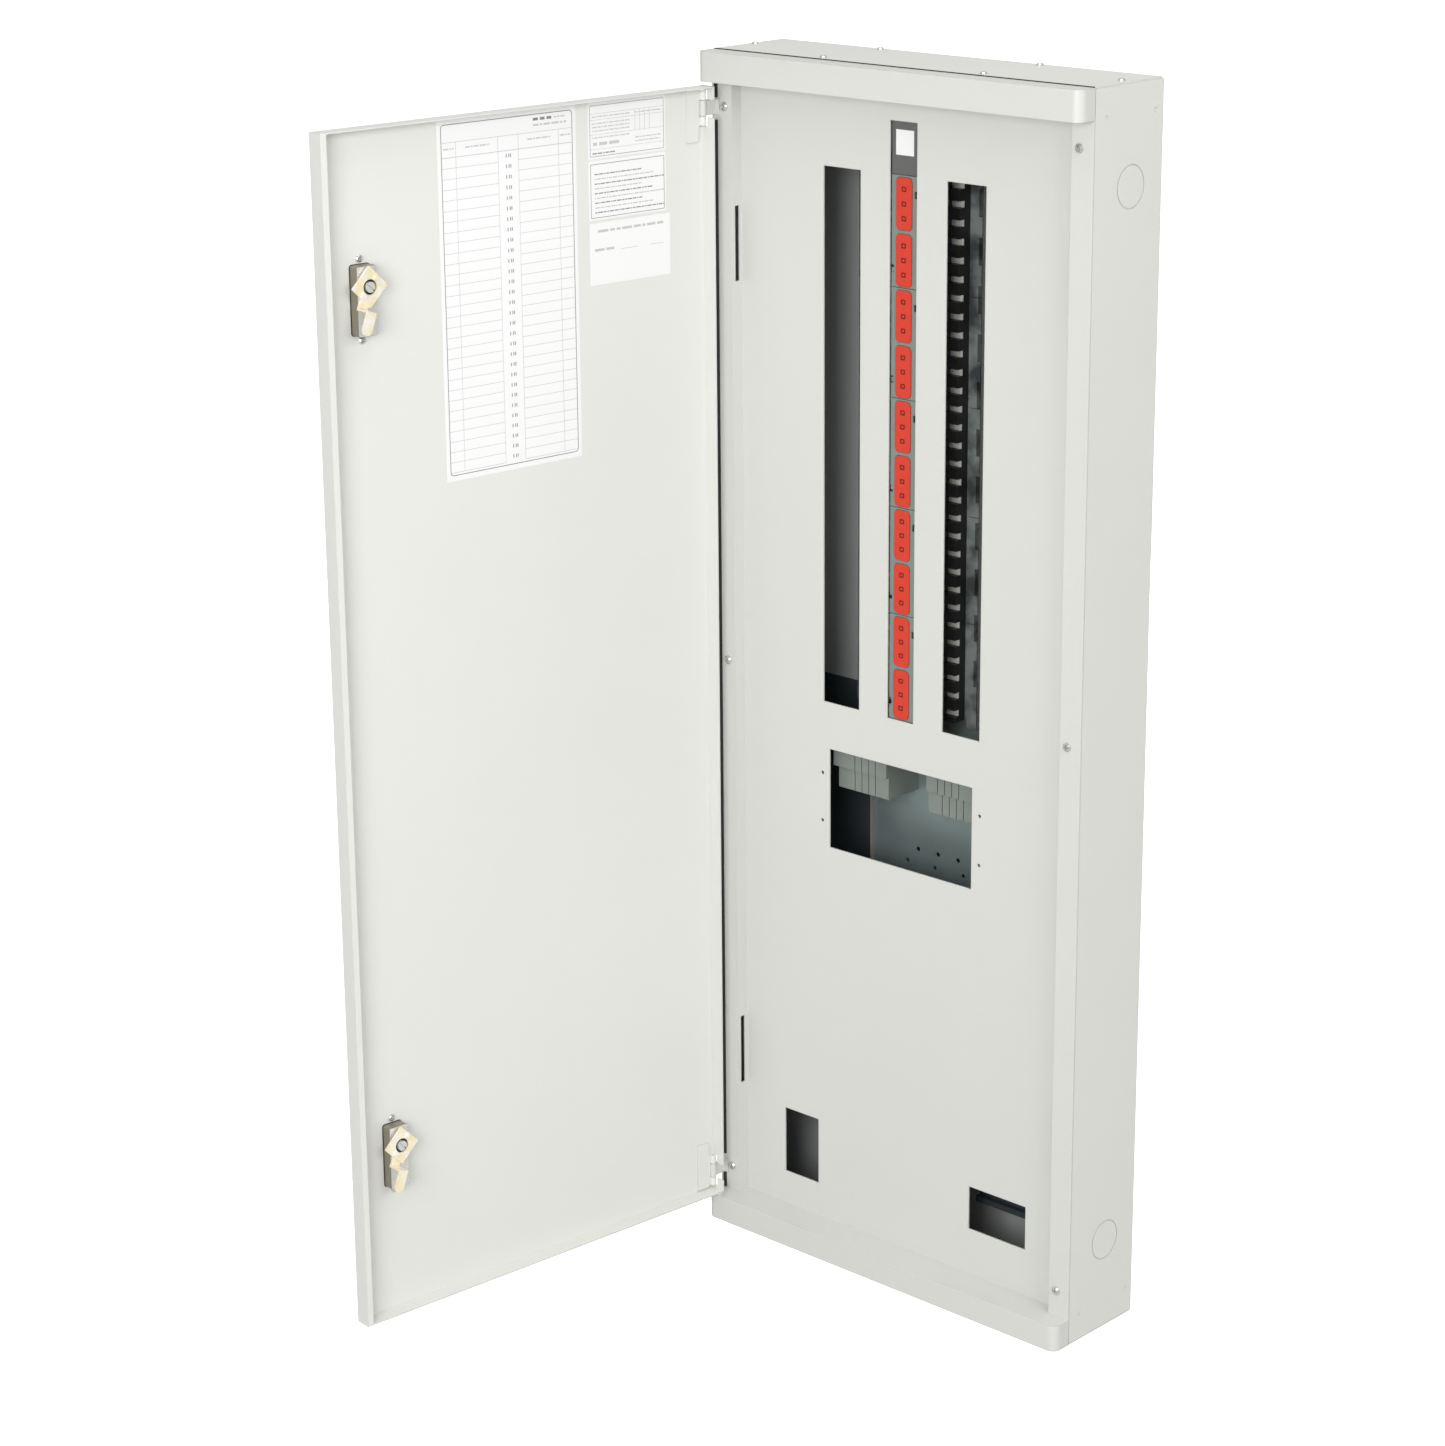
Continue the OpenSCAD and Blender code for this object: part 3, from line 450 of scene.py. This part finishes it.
def rounded(width: float, height: float, radius: float, steps: int = 6) -> np.ndarray:
    """Works out a rounded rectangle about the origin.

    Each corner is a quarter circle of the radius about a centre that lies the radius inside the corner.

    Args:
        width: Size in x.
        height: Size in z.
        radius: Corner radius.
        steps: Steps along each quarter circle.

    Returns:
        N by 2 points in x and z.
    """
    start = np.arange(4)[:, None] * np.pi / 2
    angle = start + np.linspace(0.0, np.pi / 2, steps + 1)[None, :]
    middle = start + np.pi / 4
    x = np.sign(np.cos(middle)) * (width / 2 - radius) + radius * np.cos(angle)
    z = np.sign(np.sin(middle)) * (height / 2 - radius) + radius * np.sin(angle)
    return np.stack([x.ravel(), z.ravel()], 1)


def span_of(node: str) -> tuple[np.ndarray, np.ndarray]:
    """Reads a CAD node's box.

    Args:
        node: Node name.

    Returns:
        Its lowest and highest corner in millimetres.
    """
    low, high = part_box(node)
    return np.array(low) / MM, np.array(high) / MM


@dataclass
class Door:
    """Where the door hangs and how far it stands open.

    Attributes:
        open_angle: Turn from shut to open, in degrees.
        hinge_x: Hinge line in x.
        hinge_y: Hinge line in y.
        skin_y: Inner face of the door's sheet when it is shut.
    """

    open_angle: float = 96.0
    hinge_x: float = -229.0
    hinge_y: float = -122.0
    skin_y: float = -123.5

    def placed(self) -> Matrix:
        """Gives the turn that opens the door.

        Returns:
            The placement in millimetres.
        """
        hinge = Matrix.Translation((self.hinge_x, self.hinge_y, 0))
        return hinge @ Matrix.Rotation(math.radians(-self.open_angle), 4, "Z") @ hinge.inverted()


@dataclass
class Paper:
    """Ruled lines and word-like dashes on one card or label.

    Distances run from the card's top and from its left as someone inside the open door sees it, which is its
    highest x.

    Attributes:
        door: The door it is stuck on.
        name: Piece name.
        high_x: The card's highest x.
        high_z: The card's highest z.
        line: Width of a line.
        sheet: Thickness of the card.
        proud: How far the print stands off the card.
        dark: Lines in the darker ink.
        faint: Lines in the pale ink.
    """

    door: Door
    name: str
    high_x: float
    high_z: float
    line: float = 0.5
    sheet: float = 0.3
    proud: float = 0.04
    dark: Mesh = field(default_factory=Mesh)
    faint: Mesh = field(default_factory=Mesh)

    def rule(self, x0: float, x1: float, z0: float, z1: float, faint: bool = False) -> None:
        """Adds one printed bar that lies just proud of the card.

        Args:
            x0: Start in x from the card's left.
            x1: End in x from the card's left.
            z0: Start below the card's top.
            z1: End below the card's top.
            faint: True for the pale ink.
        """
        face = self.door.skin_y + self.sheet
        mesh = self.faint if faint else self.dark
        mesh.box((self.high_x - x1, face, self.high_z - z1),
                 (self.high_x - x0, face + self.proud, self.high_z - z0))

    def level(self, x0: float, x1: float, z: float, width: float | None = None, faint: bool = False) -> None:
        """Adds a level line.

        Args:
            x0: Start from the card's left.
            x1: End from the card's left.
            z: Distance below the card's top.
            width: Line width, or None for the usual one.
            faint: True for the pale ink.
        """
        half = (width or self.line) / 2
        self.rule(x0, x1, z - half, z + half, faint)

    def upright(self, x: float, z0: float, z1: float, faint: bool = False) -> None:
        """Adds an upright line.

        Args:
            x: Distance from the card's left.
            z0: Start below the card's top.
            z1: End below the card's top.
            faint: True for the pale ink.
        """
        self.rule(x - self.line / 2, x + self.line / 2, z0, z1, faint)

    def border(self, x0: float, x1: float, z0: float, z1: float, radius: float, width: float) -> None:
        """Adds a round-cornered frame line.

        Args:
            x0: Left side.
            x1: Right side.
            z0: Top.
            z1: Bottom.
            radius: Corner radius.
            width: Line width.
        """
        centre = (self.high_x - (x0 + x1) / 2, self.door.skin_y + self.sheet, self.high_z - (z0 + z1) / 2)
        outer = rounded(x1 - x0, z1 - z0, radius)
        inner = rounded(x1 - x0 - 2 * width, z1 - z0 - 2 * width, radius - width)
        self.dark.frame_ring(centre, outer, inner, self.proud)

    def dashes(self, x0: float, x1: float, z: float, height: float, faint: bool = False) -> None:
        """Adds a row of word-like dashes whose lengths swell and shrink as a sine.

        Args:
            x0: Start from the card's left.
            x1: End from the card's left.
            z: Middle of the row below the card's top.
            height: Height of the dashes.
            faint: True for the pale ink.
        """
        mean, swing, pace, space = 3.4, 2.0, 1.9, 0.9
        at, count = x0, 0
        while at < x1 - height:
            length = height * (mean + swing * math.sin(pace * count + z))
            self.rule(at, min(at + length, x1), z - height / 2, z + height / 2, faint)
            at += length + height * space
            count += 1

    def done(self) -> int:
        """Makes the printed lines, one piece for each ink.

        Returns:
            The number of pieces.
        """
        made = 0
        for mesh, finish, ending in ((self.dark, INK, ""), (self.faint, FAINT_INK, "_faint")):
            if mesh.faces:
                mesh.piece(self.name + ending, finish, Body.DOOR, self.door.placed())
                made += 1
        return made


@dataclass
class DoorPrint:
    """What is ruled on the directory card and the three labels.

    Attributes:
        door: The door they are stuck on.
        rows: Rows of the directory.
        head: Top of the first row below the card's top.
        foot: Bottom of the last row below the card's top.
        titles: Line between the heading and the column titles.
        left: Left side of the tables.
        right: Right side of the tables.
        gap: Left and right side of the column with the tally marks.
        fine: Width of the faint lines.
        small: Height of the smallest dashes.
        labels_x: Highest x of the three labels.
    """

    door: Door
    rows: int = 30
    head: float = 36.0
    foot: float = 334.0
    titles: float = 22.0
    left: float = 4.5
    right: float = 158.5
    gap: tuple[float, float] = (70.0, 94.0)
    fine: float = 0.5
    small: float = 1.1
    labels_x: float = -86.0

    def directory(self) -> int:
        """Rules the directory card: a frame, a heading and rows with tally marks between two tables.

        Returns:
            The number of pieces.
        """
        card = Paper(self.door, "directory_lines", high_x=92.0, high_z=583.0)
        card.border(4, 159, 5, 337, radius=4.0, width=0.8)
        card.level(self.left, self.right, self.head, width=0.7, faint=True)
        card.level(self.left, self.right, self.titles, self.fine, faint=True)
        pitch = (self.foot - self.head) / self.rows
        first_stroke, tally_top, tally_end = 82.0, 0.68, 0.34
        for row in range(self.rows):
            low = self.head + (row + 1) * pitch
            card.level(self.left, self.gap[0], low, faint=True)
            card.level(self.gap[1], self.right, low, faint=True)
            for stroke in (-3.0, 0.2, 2.2):
                at = first_stroke + stroke
                card.rule(at, at + 1, low - tally_top * pitch, low - tally_end * pitch)
        for x in (21, *self.gap, 142):
            card.upright(x, self.titles, self.foot, faint=True)
        card.dashes(112, 134, 10, height=2.6)
        card.dashes(137, 150, 10, height=1.2, faint=True)
        card.dashes(112, 152, 15.5, height=1.8, faint=True)
        for x0, x1 in ((7, 19), (32, 60), (105, 132), (144, 156)):
            card.dashes(x0, x1, 28, height=1.4, faint=True)
        return card.done()

    def rating_label(self) -> int:
        """Rules the upper label: a small table with a line of larger dashes below it.

        Returns:
            The number of pieces.
        """
        label = Paper(self.door, "label_upper_lines", self.labels_x, high_z=584.0)
        table_top, table_end, columns = 13, 33, 58
        label.border(2, 94, 5, 54, radius=1.0, width=self.fine)
        for low in (table_top, 19, table_end, 47):
            label.level(2.5, 93.5, low, width=0.4, faint=True)
        for step in range(4):
            label.upright(columns + 6 * step, table_top, table_end, faint=True)
        for low in (16, 22.5, 26, 29.5, 36):
            label.dashes(5, 52, low, self.small, faint=True)
        for low in (16, 40, 43.5):
            label.dashes(columns, 90, low, self.small, faint=True)
        label.dashes(6, 38, 42, height=3.0, faint=True)
        label.dashes(5, 34, 51, height=1.2)
        return label.done()

    def notes_label(self) -> int:
        """Rules the middle label: a frame round nine rows of small dashes of three lengths.

        Returns:
            The number of pieces.
        """
        label = Paper(self.door, "label_middle_lines", self.labels_x, high_z=526.0)
        label.border(2, 94, 3, 55, radius=1.0, width=0.6)
        for step in range(9):
            end, low = 66 + 14 * (step % 3), 13 + 4.6 * step
            label.dashes(7, end, low, self.small, faint=step % 2 == 1)
        return label.done()

    def stamp_label(self) -> int:
        """Rules the lower label: a heading and one row with two blanks to fill in.

        Returns:
            The number of pieces.
        """
        label = Paper(self.door, "label_lower_lines", self.labels_x, high_z=466.0)
        blank = 28
        label.dashes(10, 92, 8, height=2.4, faint=True)
        label.dashes(6, 32, 26, height=2.4, faint=True)
        label.level(38, 60, blank, self.fine, faint=True)
        label.level(76, 92, blank, self.fine, faint=True)
        return label.done()

    def build(self) -> int:
        """Makes all the print.

        Returns:
            The number of pieces.
        """
        return self.directory() + self.rating_label() + self.notes_label() + self.stamp_label()


@dataclass
class WayTrim:
    """Darker frames moulded on the red way covers, and the shadow line round each cover.

    Attributes:
        ways: Number of covers.
        mark_step: Distance between the three frames of a cover.
        mark_w: Width of a frame.
        mark_h: Height of a frame.
        mark_r: Outer corner radius of a frame.
        hollow_r: Inner corner radius of a frame.
        stroke: Width of a frame's line.
        proud: How far the trim stands off the plastic.
        cover_r: Corner radius of a cover.
        rim: Width of the shadow line.
        slack: Room between a cover and its shadow line, over both sides.
    """

    ways: int = 10
    mark_step: float = 14.0
    mark_w: float = 5.6
    mark_h: float = 4.8
    mark_r: float = 1.3
    hollow_r: float = 0.4
    stroke: float = 1.3
    proud: float = 0.12
    cover_r: float = 4.5
    rim: float = 0.7
    slack: float = 0.1

    def marks(self) -> None:
        """Makes the three frames of every cover as one piece."""
        mesh = Mesh()
        outer = rounded(self.mark_w, self.mark_h, self.mark_r)
        inner = rounded(self.mark_w - 2 * self.stroke, self.mark_h - 2 * self.stroke, self.hollow_r)
        for way in range(1, self.ways + 1):
            low, high = span_of(f"way_cover_{way}")
            middle = (low + high) / 2
            for step in (-1, 0, 1):
                centre = (middle[0], low[1], middle[2] + step * self.mark_step)
                mesh.frame_ring(centre, outer, inner, -self.proud)
        mesh.piece("way_marks", MARK, Body.CABINET)

    def rims(self) -> None:
        """Makes the shadow lines on the face of the shrouds as one piece."""
        mesh = Mesh()
        shroud_face = span_of("shroud_1")[0][1]
        for way in range(1, self.ways + 1):
            low, high = span_of(f"way_cover_{way}")
            middle = (low + high) / 2
            width, height = high[0] - low[0], high[2] - low[2]
            mesh.frame_ring((middle[0], shroud_face, middle[2]),
                            rounded(width + 2 * self.rim, height + 2 * self.rim, self.cover_r + self.rim),
                            rounded(width + self.slack, height + self.slack, self.cover_r), -self.proud)
        mesh.piece("way_rims", RIM, Body.CABINET)

    def build(self) -> int:
        """Makes the frames and the shadow lines.

        Returns:
            The number of pieces.
        """
        self.marks()
        self.rims()
        return 2


@dataclass
class ShadeStrips:
    """Dark strips of painted shade at the seams of the box, where gaps lie in shadow, and the side plate's
    folded edge.

    Attributes:
        strip_y: Face of the side strips of the front cover.
        header_h: Height of the header, down to where the strip ends.
        footer_h: Height of the footer, up to where the strip starts.
        knuckle: Height of a hinge leaf on the frame.
        shade_x: Left side of the painted shade strip beside the hinge side.
        shade_r: Half of the strip's width.
        shade_rise: How far the strip stands out, as a share of the half width.
        clear: Room at each end of a stretch of strip.
        seam: How far the painted shade line stands out in front of the plate's edge.
        shade_reach: How far the painted shade line reaches out of the plate and into the box.
        flange_t: Thickness of the folded edge.
        flange_reach: How far the folded edge reaches in front of and behind the chassis plate's face.
        gap: Room between the trim and what it lies beside.
    """

    strip_y: float = -103.0
    header_h: float = 29.5
    footer_h: float = 27.5
    knuckle: float = 20.0
    shade_x: float = -231.2
    shade_r: float = 2.3
    shade_rise: float = 0.8
    clear: float = 1.0
    seam: float = 1.4
    shade_reach: tuple[float, float] = (0.3, 1.2)
    flange_t: float = 1.4
    flange_reach: tuple[float, float] = (4.5, 8.0)
    gap: float = 0.1

    def hinge_side(self) -> None:
        """Makes the half-round dark strip of painted shade beside the door's hinge edge, standing for the
        shadow in the gap between door and cover: half circles carried up the strip.

        It runs from the footer to the header and leaves room for the two hinges.
        """
        low, high = span_of("front_cover")
        leaf_low, leaf_high = span_of("hinge_frame_leaves")
        header, footer = high[2] - self.header_h, low[2] + self.footer_h
        stretches = ((footer, leaf_low[2]),
                     (leaf_low[2] + self.knuckle, leaf_high[2] - self.knuckle),
                     (leaf_high[2], header))
        angle = np.linspace(0.0, np.pi, 9)
        x = self.shade_x + self.shade_r * (1 - np.cos(angle))
        y = self.strip_y - self.gap / 2 - self.shade_rise * self.shade_r * np.sin(angle)
        mesh = Mesh()
        for bottom, top in stretches:
            if top - bottom > 4 * self.clear:
                ends = (bottom + self.clear, top - self.clear)
                mesh.skin(np.stack([np.stack([x, y, np.full(len(x), end)], 1) for end in ends]), False)
        mesh.piece("hinge_side_shade_strip", SHADE_STRIP, Body.CABINET)

    def gland_seam_shade(self) -> None:
        """Makes the dark line along the front edge of each gland plate: painted shade for the shadowed seam
        between plate and cover.
        """
        mesh = Mesh()
        out, deep = self.shade_reach
        for node, inward in (("top_gland_plate", -1.0), ("bottom_gland_plate", 1.0)):
            low, high = span_of(node)
            face = high[2] if inward < 0 else low[2]
            ends = sorted((face - out * inward, face + deep * inward))
            mesh.box((low[0] + self.clear, low[1] - self.seam, ends[0]),
                     (high[0] - self.clear, low[1] - self.gap, ends[1]))
        mesh.piece("gland_plate_shade_lines", SHADE_STRIP, Body.CABINET)

    def plate_flange(self) -> None:
        """Makes the folded edge that stands up beside the chassis plate, over the side plate.

        It starts just above the chassis plate's lower edge and ends just below the incomer's shroud.
        """
        low, _ = span_of("chassis_plate")
        shroud_foot = span_of("incomer_shroud_left")[0][2]
        side = low[0] - self.gap
        ahead, behind = self.flange_reach
        mesh = Mesh()
        mesh.box((side - self.flange_t, low[1] - ahead, low[2] + 2 * self.clear),
                 (side, low[1] + behind, shroud_foot - self.clear))
        mesh.piece("side_plate_flange", FLANGE, Body.CABINET)

    def build(self) -> int:
        """Makes the painted shade strips and the flange.

        Returns:
            The number of pieces.
        """
        self.hinge_side()
        self.gland_seam_shade()
        self.plate_flange()
        return 3


@dataclass
class LockShade:
    """Painted shade round a lock: a brown line at the housing's foot, a grey sleeve on the housing's sides
    and a black ring round the spindle.

    Attributes:
        door: The door that holds the locks.
        x: Spindle's place in x.
        heights: Spindles' heights, upper and lower.
        drop: How far the housing's middle lies below its spindle.
        housing_w: Width of the housing.
        housing_h: Height of the housing.
        housing_r: Corner radius of the housing.
        slack: Room round the housing, over both sides.
        shade_lip: How far the dark line at the housing's foot shows on each side.
        shade_lip_t: Thickness of that line.
        sleeve_w: How much wider than the housing the dark sleeve is, over both sides.
        sleeve_t: How far the sleeve stands up from the foot line.
        root_y: Side of the spindle's ring that faces the door's sheet.
        ring_t: Thickness of the spindle's ring.
        spindle_r: Inner radius of the ring.
        hole_r: Outer radius of the ring.
    """

    door: Door
    x: float = 184.0
    heights: tuple[float, float] = (442.0, -407.5)
    drop: float = 13.7
    housing_w: float = 21.0
    housing_h: float = 64.5
    housing_r: float = 2.0
    slack: float = 0.1
    shade_lip: float = 1.0
    shade_lip_t: float = 0.8
    sleeve_w: float = 0.8
    sleeve_t: float = 10.2
    root_y: float = -109.15
    ring_t: float = 0.6
    spindle_r: float = 5.05
    hole_r: float = 7.15

    def outline(self, wider: float, radius: float) -> np.ndarray:
        """Gives the housing's outline, grown all round.

        Args:
            wider: Growth over both sides.
            radius: Corner radius.

        Returns:
            N by 2 points in x and z.
        """
        return rounded(self.housing_w + wider, self.housing_h + wider, radius)

    def circle(self, radius: float) -> np.ndarray:
        """Gives a circle as a rounded square whose corners meet."""
        return rounded(2 * radius, 2 * radius, radius, steps=8)

    def build(self) -> int:
        """Makes the painted shade round both locks.

        Returns:
            The number of pieces.
        """
        turn = self.door.placed()
        hollow = self.outline(self.slack, self.housing_r)
        for z, side, body in zip(self.heights, ("upper", "lower"), (Body.LOCK_UPPER, Body.LOCK_LOWER)):
            shade_foot, shade_sleeve, ring = Mesh(), Mesh(), Mesh()
            # The brown line at the housing's foot is painted shade for the gap between housing and door
            shade_foot.frame_ring((self.x, self.door.skin_y, z - self.drop),
                              self.outline(2 * self.shade_lip, self.housing_r + self.shade_lip), hollow, self.shade_lip_t)
            shade_foot.piece(f"lock_foot_shade_{side}", HOUSING_FOOT_SHADE, Body.DOOR, turn)
            # The grey sleeve over the housing's sides is painted shade where the sides turn from the light
            shade_sleeve.frame_ring((self.x, self.door.skin_y + self.shade_lip_t, z - self.drop),
                              self.outline(self.sleeve_w, self.housing_r + self.sleeve_w / 2), hollow,
                              self.sleeve_t)
            shade_sleeve.piece(f"lock_side_shade_{side}", HOUSING_SIDE_SHADE, Body.DOOR, turn)
            # The black ring at the spindle's foot is painted shade in the hole round the spindle
            ring.frame_ring((self.x, self.root_y, z), self.circle(self.hole_r), self.circle(self.spindle_r),
                            self.ring_t)
            ring.piece(f"spindle_shade_ring_{side}", BLACK, body, turn)
        return 6


@dataclass(frozen=True)
class SoftLight:
    """A square soft light, in metres and watts.

    Attributes:
        name: Light name.
        place: Position.
        aim: Point it faces.
        size: Side of the square.
        power: Power.
    """

    name: str
    place: Triple
    aim: Triple
    size: float
    power: float

    def build(self) -> None:
        """Makes the light, which the camera itself doesn't see."""
        lamp = bpy.data.lights.new(self.name, "AREA")
        lamp.shape = "SQUARE"
        lamp.size = self.size
        lamp.energy = self.power
        made = bpy.data.objects.new(self.name, lamp)
        made.location = self.place
        made.rotation_euler = (Vector(self.aim) - Vector(self.place)).to_track_quat("-Z", "Y").to_euler()
        made.visible_camera = False
        bpy.context.scene.collection.objects.link(made)


LIGHTS = (
    SoftLight("key", (1.25, -3.1, 0.9), (0.0, 0.0, 0.0), 1.4, 56.0),
    SoftLight("side", (3.0, -1.0, 1.5), (0.0, -0.2, 0.1), 1.6, 35.0),
    SoftLight("overhead", (0.3, -0.4, 2.7), (0.0, -0.1, 0.6), 1.6, 17.0),
    SoftLight("rear", (-2.2, 2.7, 0.0), (0.0, -0.1, 0.1), 1.2, 60.0),
)


@dataclass
class Studio:
    """Floor, surround, lights and camera.

    Attributes:
        floor_z: Height of the floor in metres.
        floor_span: Half the side of the floor in metres.
        floor_grey: Share of light that the floor throws back.
        surround: Strength of the light from all round.
        seen: Strength of the surround where the camera sees it.
        sensor: Sensor width in millimetres.
        lens: Focal length in millimetres.
        shift_y: Upward shift of the view, as a share of its width.
        yaw: Camera's turn to the left of the wall's normal, in degrees.
        pitch: Camera's tilt upwards, in degrees.
        roll: Camera's turn about its own line of sight, in degrees.
        place: Camera's position in metres.
    """

    floor_z: float = -0.78
    floor_span: float = 60.0
    floor_grey: float = 0.55
    surround: float = 0.62
    seen: float = 1.05
    sensor: float = 36.0
    lens: float = 87.56
    shift_y: float = -0.045
    yaw: float = 43.18
    pitch: float = -16.56
    roll: float = -0.49
    place: Triple = (2.1388, -2.6236, 1.0279)

    def floor_finish(self) -> bpy.types.Material:
        """Makes a matt white that the camera sees as bright as the surround.

        Returns:
            The material.
        """
        white = bpy.data.materials.new("floor_white")
        white.use_nodes = True
        tree = white.node_tree
        tree.nodes.clear()
        matt = tree.nodes.new("ShaderNodeBsdfDiffuse")
        matt.inputs["Color"].default_value = (self.floor_grey, self.floor_grey, self.floor_grey, 1.0)
        bright = tree.nodes.new("ShaderNodeEmission")
        bright.inputs["Strength"].default_value = 1.0
        ray = tree.nodes.new("ShaderNodeLightPath")
        both = tree.nodes.new("ShaderNodeAddShader")
        mix = tree.nodes.new("ShaderNodeMixShader")
        out = tree.nodes.new("ShaderNodeOutputMaterial")
        tree.links.new(matt.outputs["BSDF"], both.inputs[0])
        tree.links.new(bright.outputs["Emission"], both.inputs[1])
        tree.links.new(ray.outputs["Is Camera Ray"], mix.inputs["Fac"])
        tree.links.new(matt.outputs["BSDF"], mix.inputs[1])
        tree.links.new(both.outputs["Shader"], mix.inputs[2])
        tree.links.new(mix.outputs["Shader"], out.inputs["Surface"])
        return white

    def floor(self) -> None:
        """Makes a broad pale floor under the object."""
        mesh = bpy.data.meshes.new("floor")
        span = self.floor_span
        mesh.from_pydata([(-span, -span, self.floor_z), (span, -span, self.floor_z),
                          (span, span, self.floor_z), (-span, span, self.floor_z)], [], [(0, 1, 2, 3)])
        mesh.materials.append(self.floor_finish())
        made = bpy.data.objects.new("floor", mesh)
        bpy.context.scene.collection.objects.link(made)

    def world(self) -> None:
        """Sets a white surround: one strength where the camera sees it, another for its light."""
        world = bpy.data.worlds.new("surround")
        world.use_nodes = True
        tree = world.node_tree
        white = (1.0, 1.0, 1.0, 1.0)
        seen = tree.nodes["Background"]
        seen.inputs["Color"].default_value = white
        seen.inputs["Strength"].default_value = self.seen
        soft = tree.nodes.new("ShaderNodeBackground")
        soft.inputs["Color"].default_value = white
        soft.inputs["Strength"].default_value = self.surround
        ray = tree.nodes.new("ShaderNodeLightPath")
        mix = tree.nodes.new("ShaderNodeMixShader")
        tree.links.new(ray.outputs["Is Camera Ray"], mix.inputs["Fac"])
        tree.links.new(soft.outputs["Background"], mix.inputs[1])
        tree.links.new(seen.outputs["Background"], mix.inputs[2])
        tree.links.new(mix.outputs["Shader"], tree.nodes["World Output"].inputs["Surface"])
        bpy.context.scene.world = world

    def camera(self) -> None:
        """Places the camera.

        The line of sight comes from the yaw and the pitch; the roll then turns the camera about it.
        """
        data = bpy.data.cameras.new("camera")
        data.sensor_width = self.sensor
        data.lens = self.lens
        data.shift_y = self.shift_y
        made = bpy.data.objects.new("camera", data)
        yaw, pitch = math.radians(self.yaw), math.radians(self.pitch)
        ahead = Vector((-math.sin(yaw) * math.cos(pitch), math.cos(yaw) * math.cos(pitch), math.sin(pitch)))
        made.rotation_mode = "QUATERNION"
        aim = ahead.to_track_quat("-Z", "Y")
        made.rotation_quaternion = aim @ Matrix.Rotation(math.radians(self.roll), 4, "Z").to_quaternion()
        made.location = self.place
        bpy.context.scene.collection.objects.link(made)
        bpy.context.scene.camera = made

    def build(self) -> None:
        """Makes the whole stage."""
        self.floor()
        self.world()
        for light in LIGHTS:
            light.build()
        self.camera()
        view = bpy.context.scene.view_settings
        view.view_transform = "Standard"
        view.look = "None"


def main() -> None:
    """Builds the finished cabinet and logs what was made."""
    logging.basicConfig(level=logging.INFO, format="%(name)s: %(message)s")
    LOG.info("dressed %d nodes", dress_nodes())
    door = Door()
    LOG.info("%d pieces of print", DoorPrint(door).build())
    LOG.info("%d pieces of way trim", WayTrim().build())
    LOG.info("%d shade_strips and flanges", ShadeStrips().build())
    LOG.info("%d pieces of lock trim", LockShade(door).build())
    Studio().build()


if __name__ == "__main__":
    main()
